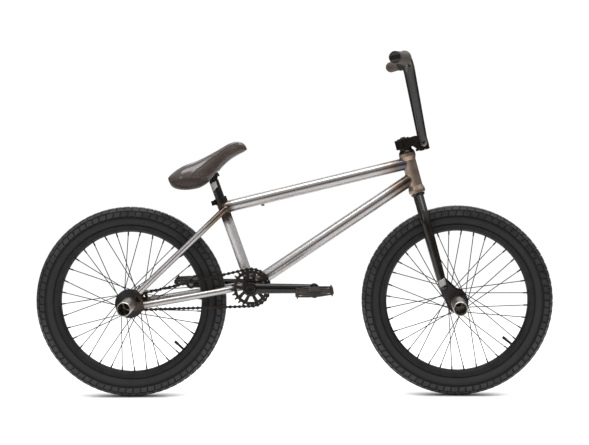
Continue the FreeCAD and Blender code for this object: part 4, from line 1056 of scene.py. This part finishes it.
def dress_parts():
    """Materials of every CAD piece that isn't frame tubing."""
    enamel = black_gloss("black_enamel")
    dress(enamel, "fork_leg_right", "fork_leg_left", "fork_steerer", "handlebar", "handlebar_crossbar",
          "seat_post")
    crank_black = black_gloss("crank_black", 0.004, (0.12, 0.24), 0.4)
    dress(round_edges(crank_black, 1.6 * MM), "crank_arm_right", "crank_arm_left")
    anodised = satin_metal("black_anodised", (0.045, 0.036, 0.030), (0.2, 0.34), 0.8)
    dress(round_edges(anodised, 1.6 * MM), "stem_body", "stem_face_plate", "headset_cover",
          "preload_cap_and_bolt", "seat_clamp", "front_hub_shell", "rear_hub_shell")
    sprocket_black = satin_metal("sprocket_black", (0.05, 0.042, 0.035), (0.22, 0.38), 0.9)
    dress(round_edges(sprocket_black, 0.8 * MM), "sprocket")
    dress(satin_metal("rim_black", (0.008, 0.007, 0.0065), (0.4, 0.55), 0.2), "front_rim", "rear_rim")
    dress(satin_metal("guard_black", (0.016, 0.0145, 0.0145), (0.35, 0.5), 0.6), "rear_hub_guard")
    peg_silver = satin_metal("peg_silver", (0.60, 0.56, 0.52), (0.28, 0.42), 1.0, (8, 90, 8))
    dress(peg_silver, "rear_peg", "front_peg")
    dress(satin_metal("black_oxide", (0.04, 0.036, 0.034)), "seat_clamp_bolt", "stem_bolts",
          "seat_pivot_bolt", "rear_axle_nuts_and_spacers", "front_axle_nuts_and_spacers",
          "crank_bolts_and_spacers", "front_axle", "rear_axle")
    dress(satin_metal("turned_steel", (0.35, 0.34, 0.33)), "crank_spindle", "pedal_spindles", "driver_cog")
    dress(satin_metal("bearing_steel", (0.5, 0.5, 0.5), (0.15, 0.3)), "headset_bearings",
          "bottom_bracket_bearings", "front_hub_bearings", "rear_hub_bearings")
    dress(satin_metal("chain_black", (0.045, 0.038, 0.034), (0.3, 0.45)), "chain_upper_run",
          "chain_lower_run", "chain_wraps")
    dress(satin_metal("spoke_black", (0.03, 0.02, 0.018), (0.3, 0.45), 0.6), "front_spokes", "rear_spokes")
    pedal_black = black_gloss("pedal_plastic", 0.024, (0.10, 0.2), 1.0)
    dress(round_edges(pedal_black, 1.4 * MM), "right_pedal_body", "left_pedal_body")
    dress(moulded_plastic("black_plastic", (0.010, 0.009, 0.009)), "seat_shell")
    dress(plug_plastic(), "bar_end_plugs")
    dress(rubber("tube_rubber", (0.02, 0.02, 0.02), (0.035, 0.035, 0.035)), "front_inner_tube",
          "rear_inner_tube")


def plug_plastic():
    """Moulded black plastic with concentric ridges on the face of each bar end plug, coloured lighter as a
    painted highlight.
    """
    material = moulded_plastic("plug_plastic", (0.007, 0.0065, 0.006), (0.3, 0.45))
    cloud = points_of("bar_end_plugs")
    rings = 0.0
    for side in (-1, 1):
        centre, axis = long_axis(cloud[cloud[:, 1] * side > 0])
        near = near_point(material, centre, 0.03, 0.01)
        lines = ring_lines(material, centre, axis, (4.0 * MM, 9.0 * MM, 12.0 * MM), 1.0 * MM)
        rings = combine(material, "MAXIMUM", combine(material, "MULTIPLY", lines, near), rings)
    # painted highlight: the ridges are coloured a lighter grey; the bump below gives their relief
    colour = mix(material, rings, (0.007, 0.0065, 0.006), (0.10, 0.09, 0.085))
    connect(material, colour, "Base Color")
    bump(material, rings, 0.6 * MM, 0.8)
    return material


def make_welds():
    """Beads where the frame's tubes meet."""
    material = satin_metal("weld_steel", (0.20, 0.165, 0.135), (0.25, 0.4))
    for name, tube, other in (("weld_top_head", "top_tube", "head_tube"),
                              ("weld_down_head", "down_tube", "head_tube"),
                              ("weld_top_seat", "top_tube", "seat_tube"),
                              ("weld_down_shell", "down_tube", "bottom_bracket_shell"),
                              ("weld_seat_shell", "seat_tube", "bottom_bracket_shell")):
        weld(name, tube, other, material)
    for side, word in ((-1, "right"), (1, "left")):
        weld("weld_chainstay_" + word, "chainstays", "bottom_bracket_shell", material, side, 1.6 * MM)
        weld("weld_seat_stay_" + word, "seat_stays", "seat_tube", material, side, 1.5 * MM)


POST_R = 12.7 * MM


def make_labels():
    """Plain pale patches on the seat post and the fork."""
    pale = moulded_plastic("pale_label", (0.42, 0.41, 0.4), (0.5, 0.65))
    axis = Vector(JOINTS["seat_height"]["axis"])
    pivot = Vector(JOINTS["seat_tilt"]["pos_m"])
    # short enough to stay above the clamp with the seat fully down
    label_patch("post_label", pivot, axis, POST_R, (-32.5 * MM, -12 * MM), (-1.0, 0.45), "seat_post", pale,
                11 * MM)
    fork_label(pale)


def fork_label(material):
    """Pale patch low on the outside of the drive-side fork leg."""
    cloud = points_of("fork_leg_right")
    steering = Vector(JOINTS["steering"]["axis"])
    axle = Vector(JOINTS["front_wheel_spin"]["pos_m"])
    outward = -Vector(JOINTS["front_wheel_spin"]["axis"])
    height = (cloud - np.array(axle)) @ np.array(steering)
    low, high = fit_ring(cloud, height, 62 * MM), fit_ring(cloud, height, 110 * MM)
    axis = (high[0] - low[0]).normalized()
    label_patch("fork_label", low[0], axis, low[1] * 1.004, (-6 * MM, 12 * MM), (-0.9, 0.9), "fork", material,
                4 * MM, outward)


def fit_ring(cloud, height, level):
    """Centre and radius of a round leg near a height."""
    near = cloud[np.abs(height - level) < 9 * MM]
    centre = (near.min(axis=0) + near.max(axis=0)) / 2
    return Vector(centre), float(near[:, 1].max() - near[:, 1].min()) / 2


def main():
    dress_frame()
    dress_parts()
    tread = rubber("tyre_tread", (0.018, 0.0165, 0.016), (0.048, 0.045, 0.0455), (0.32, 0.46), 0.45)
    tyre("front_tyre_rubber", "front_wheel_spin", "front_tyre", tread)
    tyre("rear_tyre_rubber", "rear_wheel_spin", "rear_tyre", tread)
    grip_rubber = rubber("grip_rubber", (0.085, 0.068, 0.055), (0.18, 0.15, 0.125), (0.45, 0.65))
    right = grip("grip_right", -1, grip_rubber)
    grip("grip_left", 1, grip_rubber)
    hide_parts("grips")
    top_leather = leather("seat_leather", (0.062, 0.043, 0.035), (0.112, 0.083, 0.072), 420.0,
                          (0.22, 0.32), 1.0)
    side_leather = leather("seat_side_leather", (0.034, 0.018, 0.011), (0.056, 0.032, 0.021), 380.0,
                           (0.42, 0.56), 0.1)
    thread = rubber("seat_thread", (0.03, 0.022, 0.018), (0.05, 0.038, 0.03))
    seat_cover(top_leather, side_leather, thread)
    make_welds()
    make_labels()
    floor()
    studio()
    camera()
    bpy.context.scene.view_settings.view_transform = "Standard"


main()
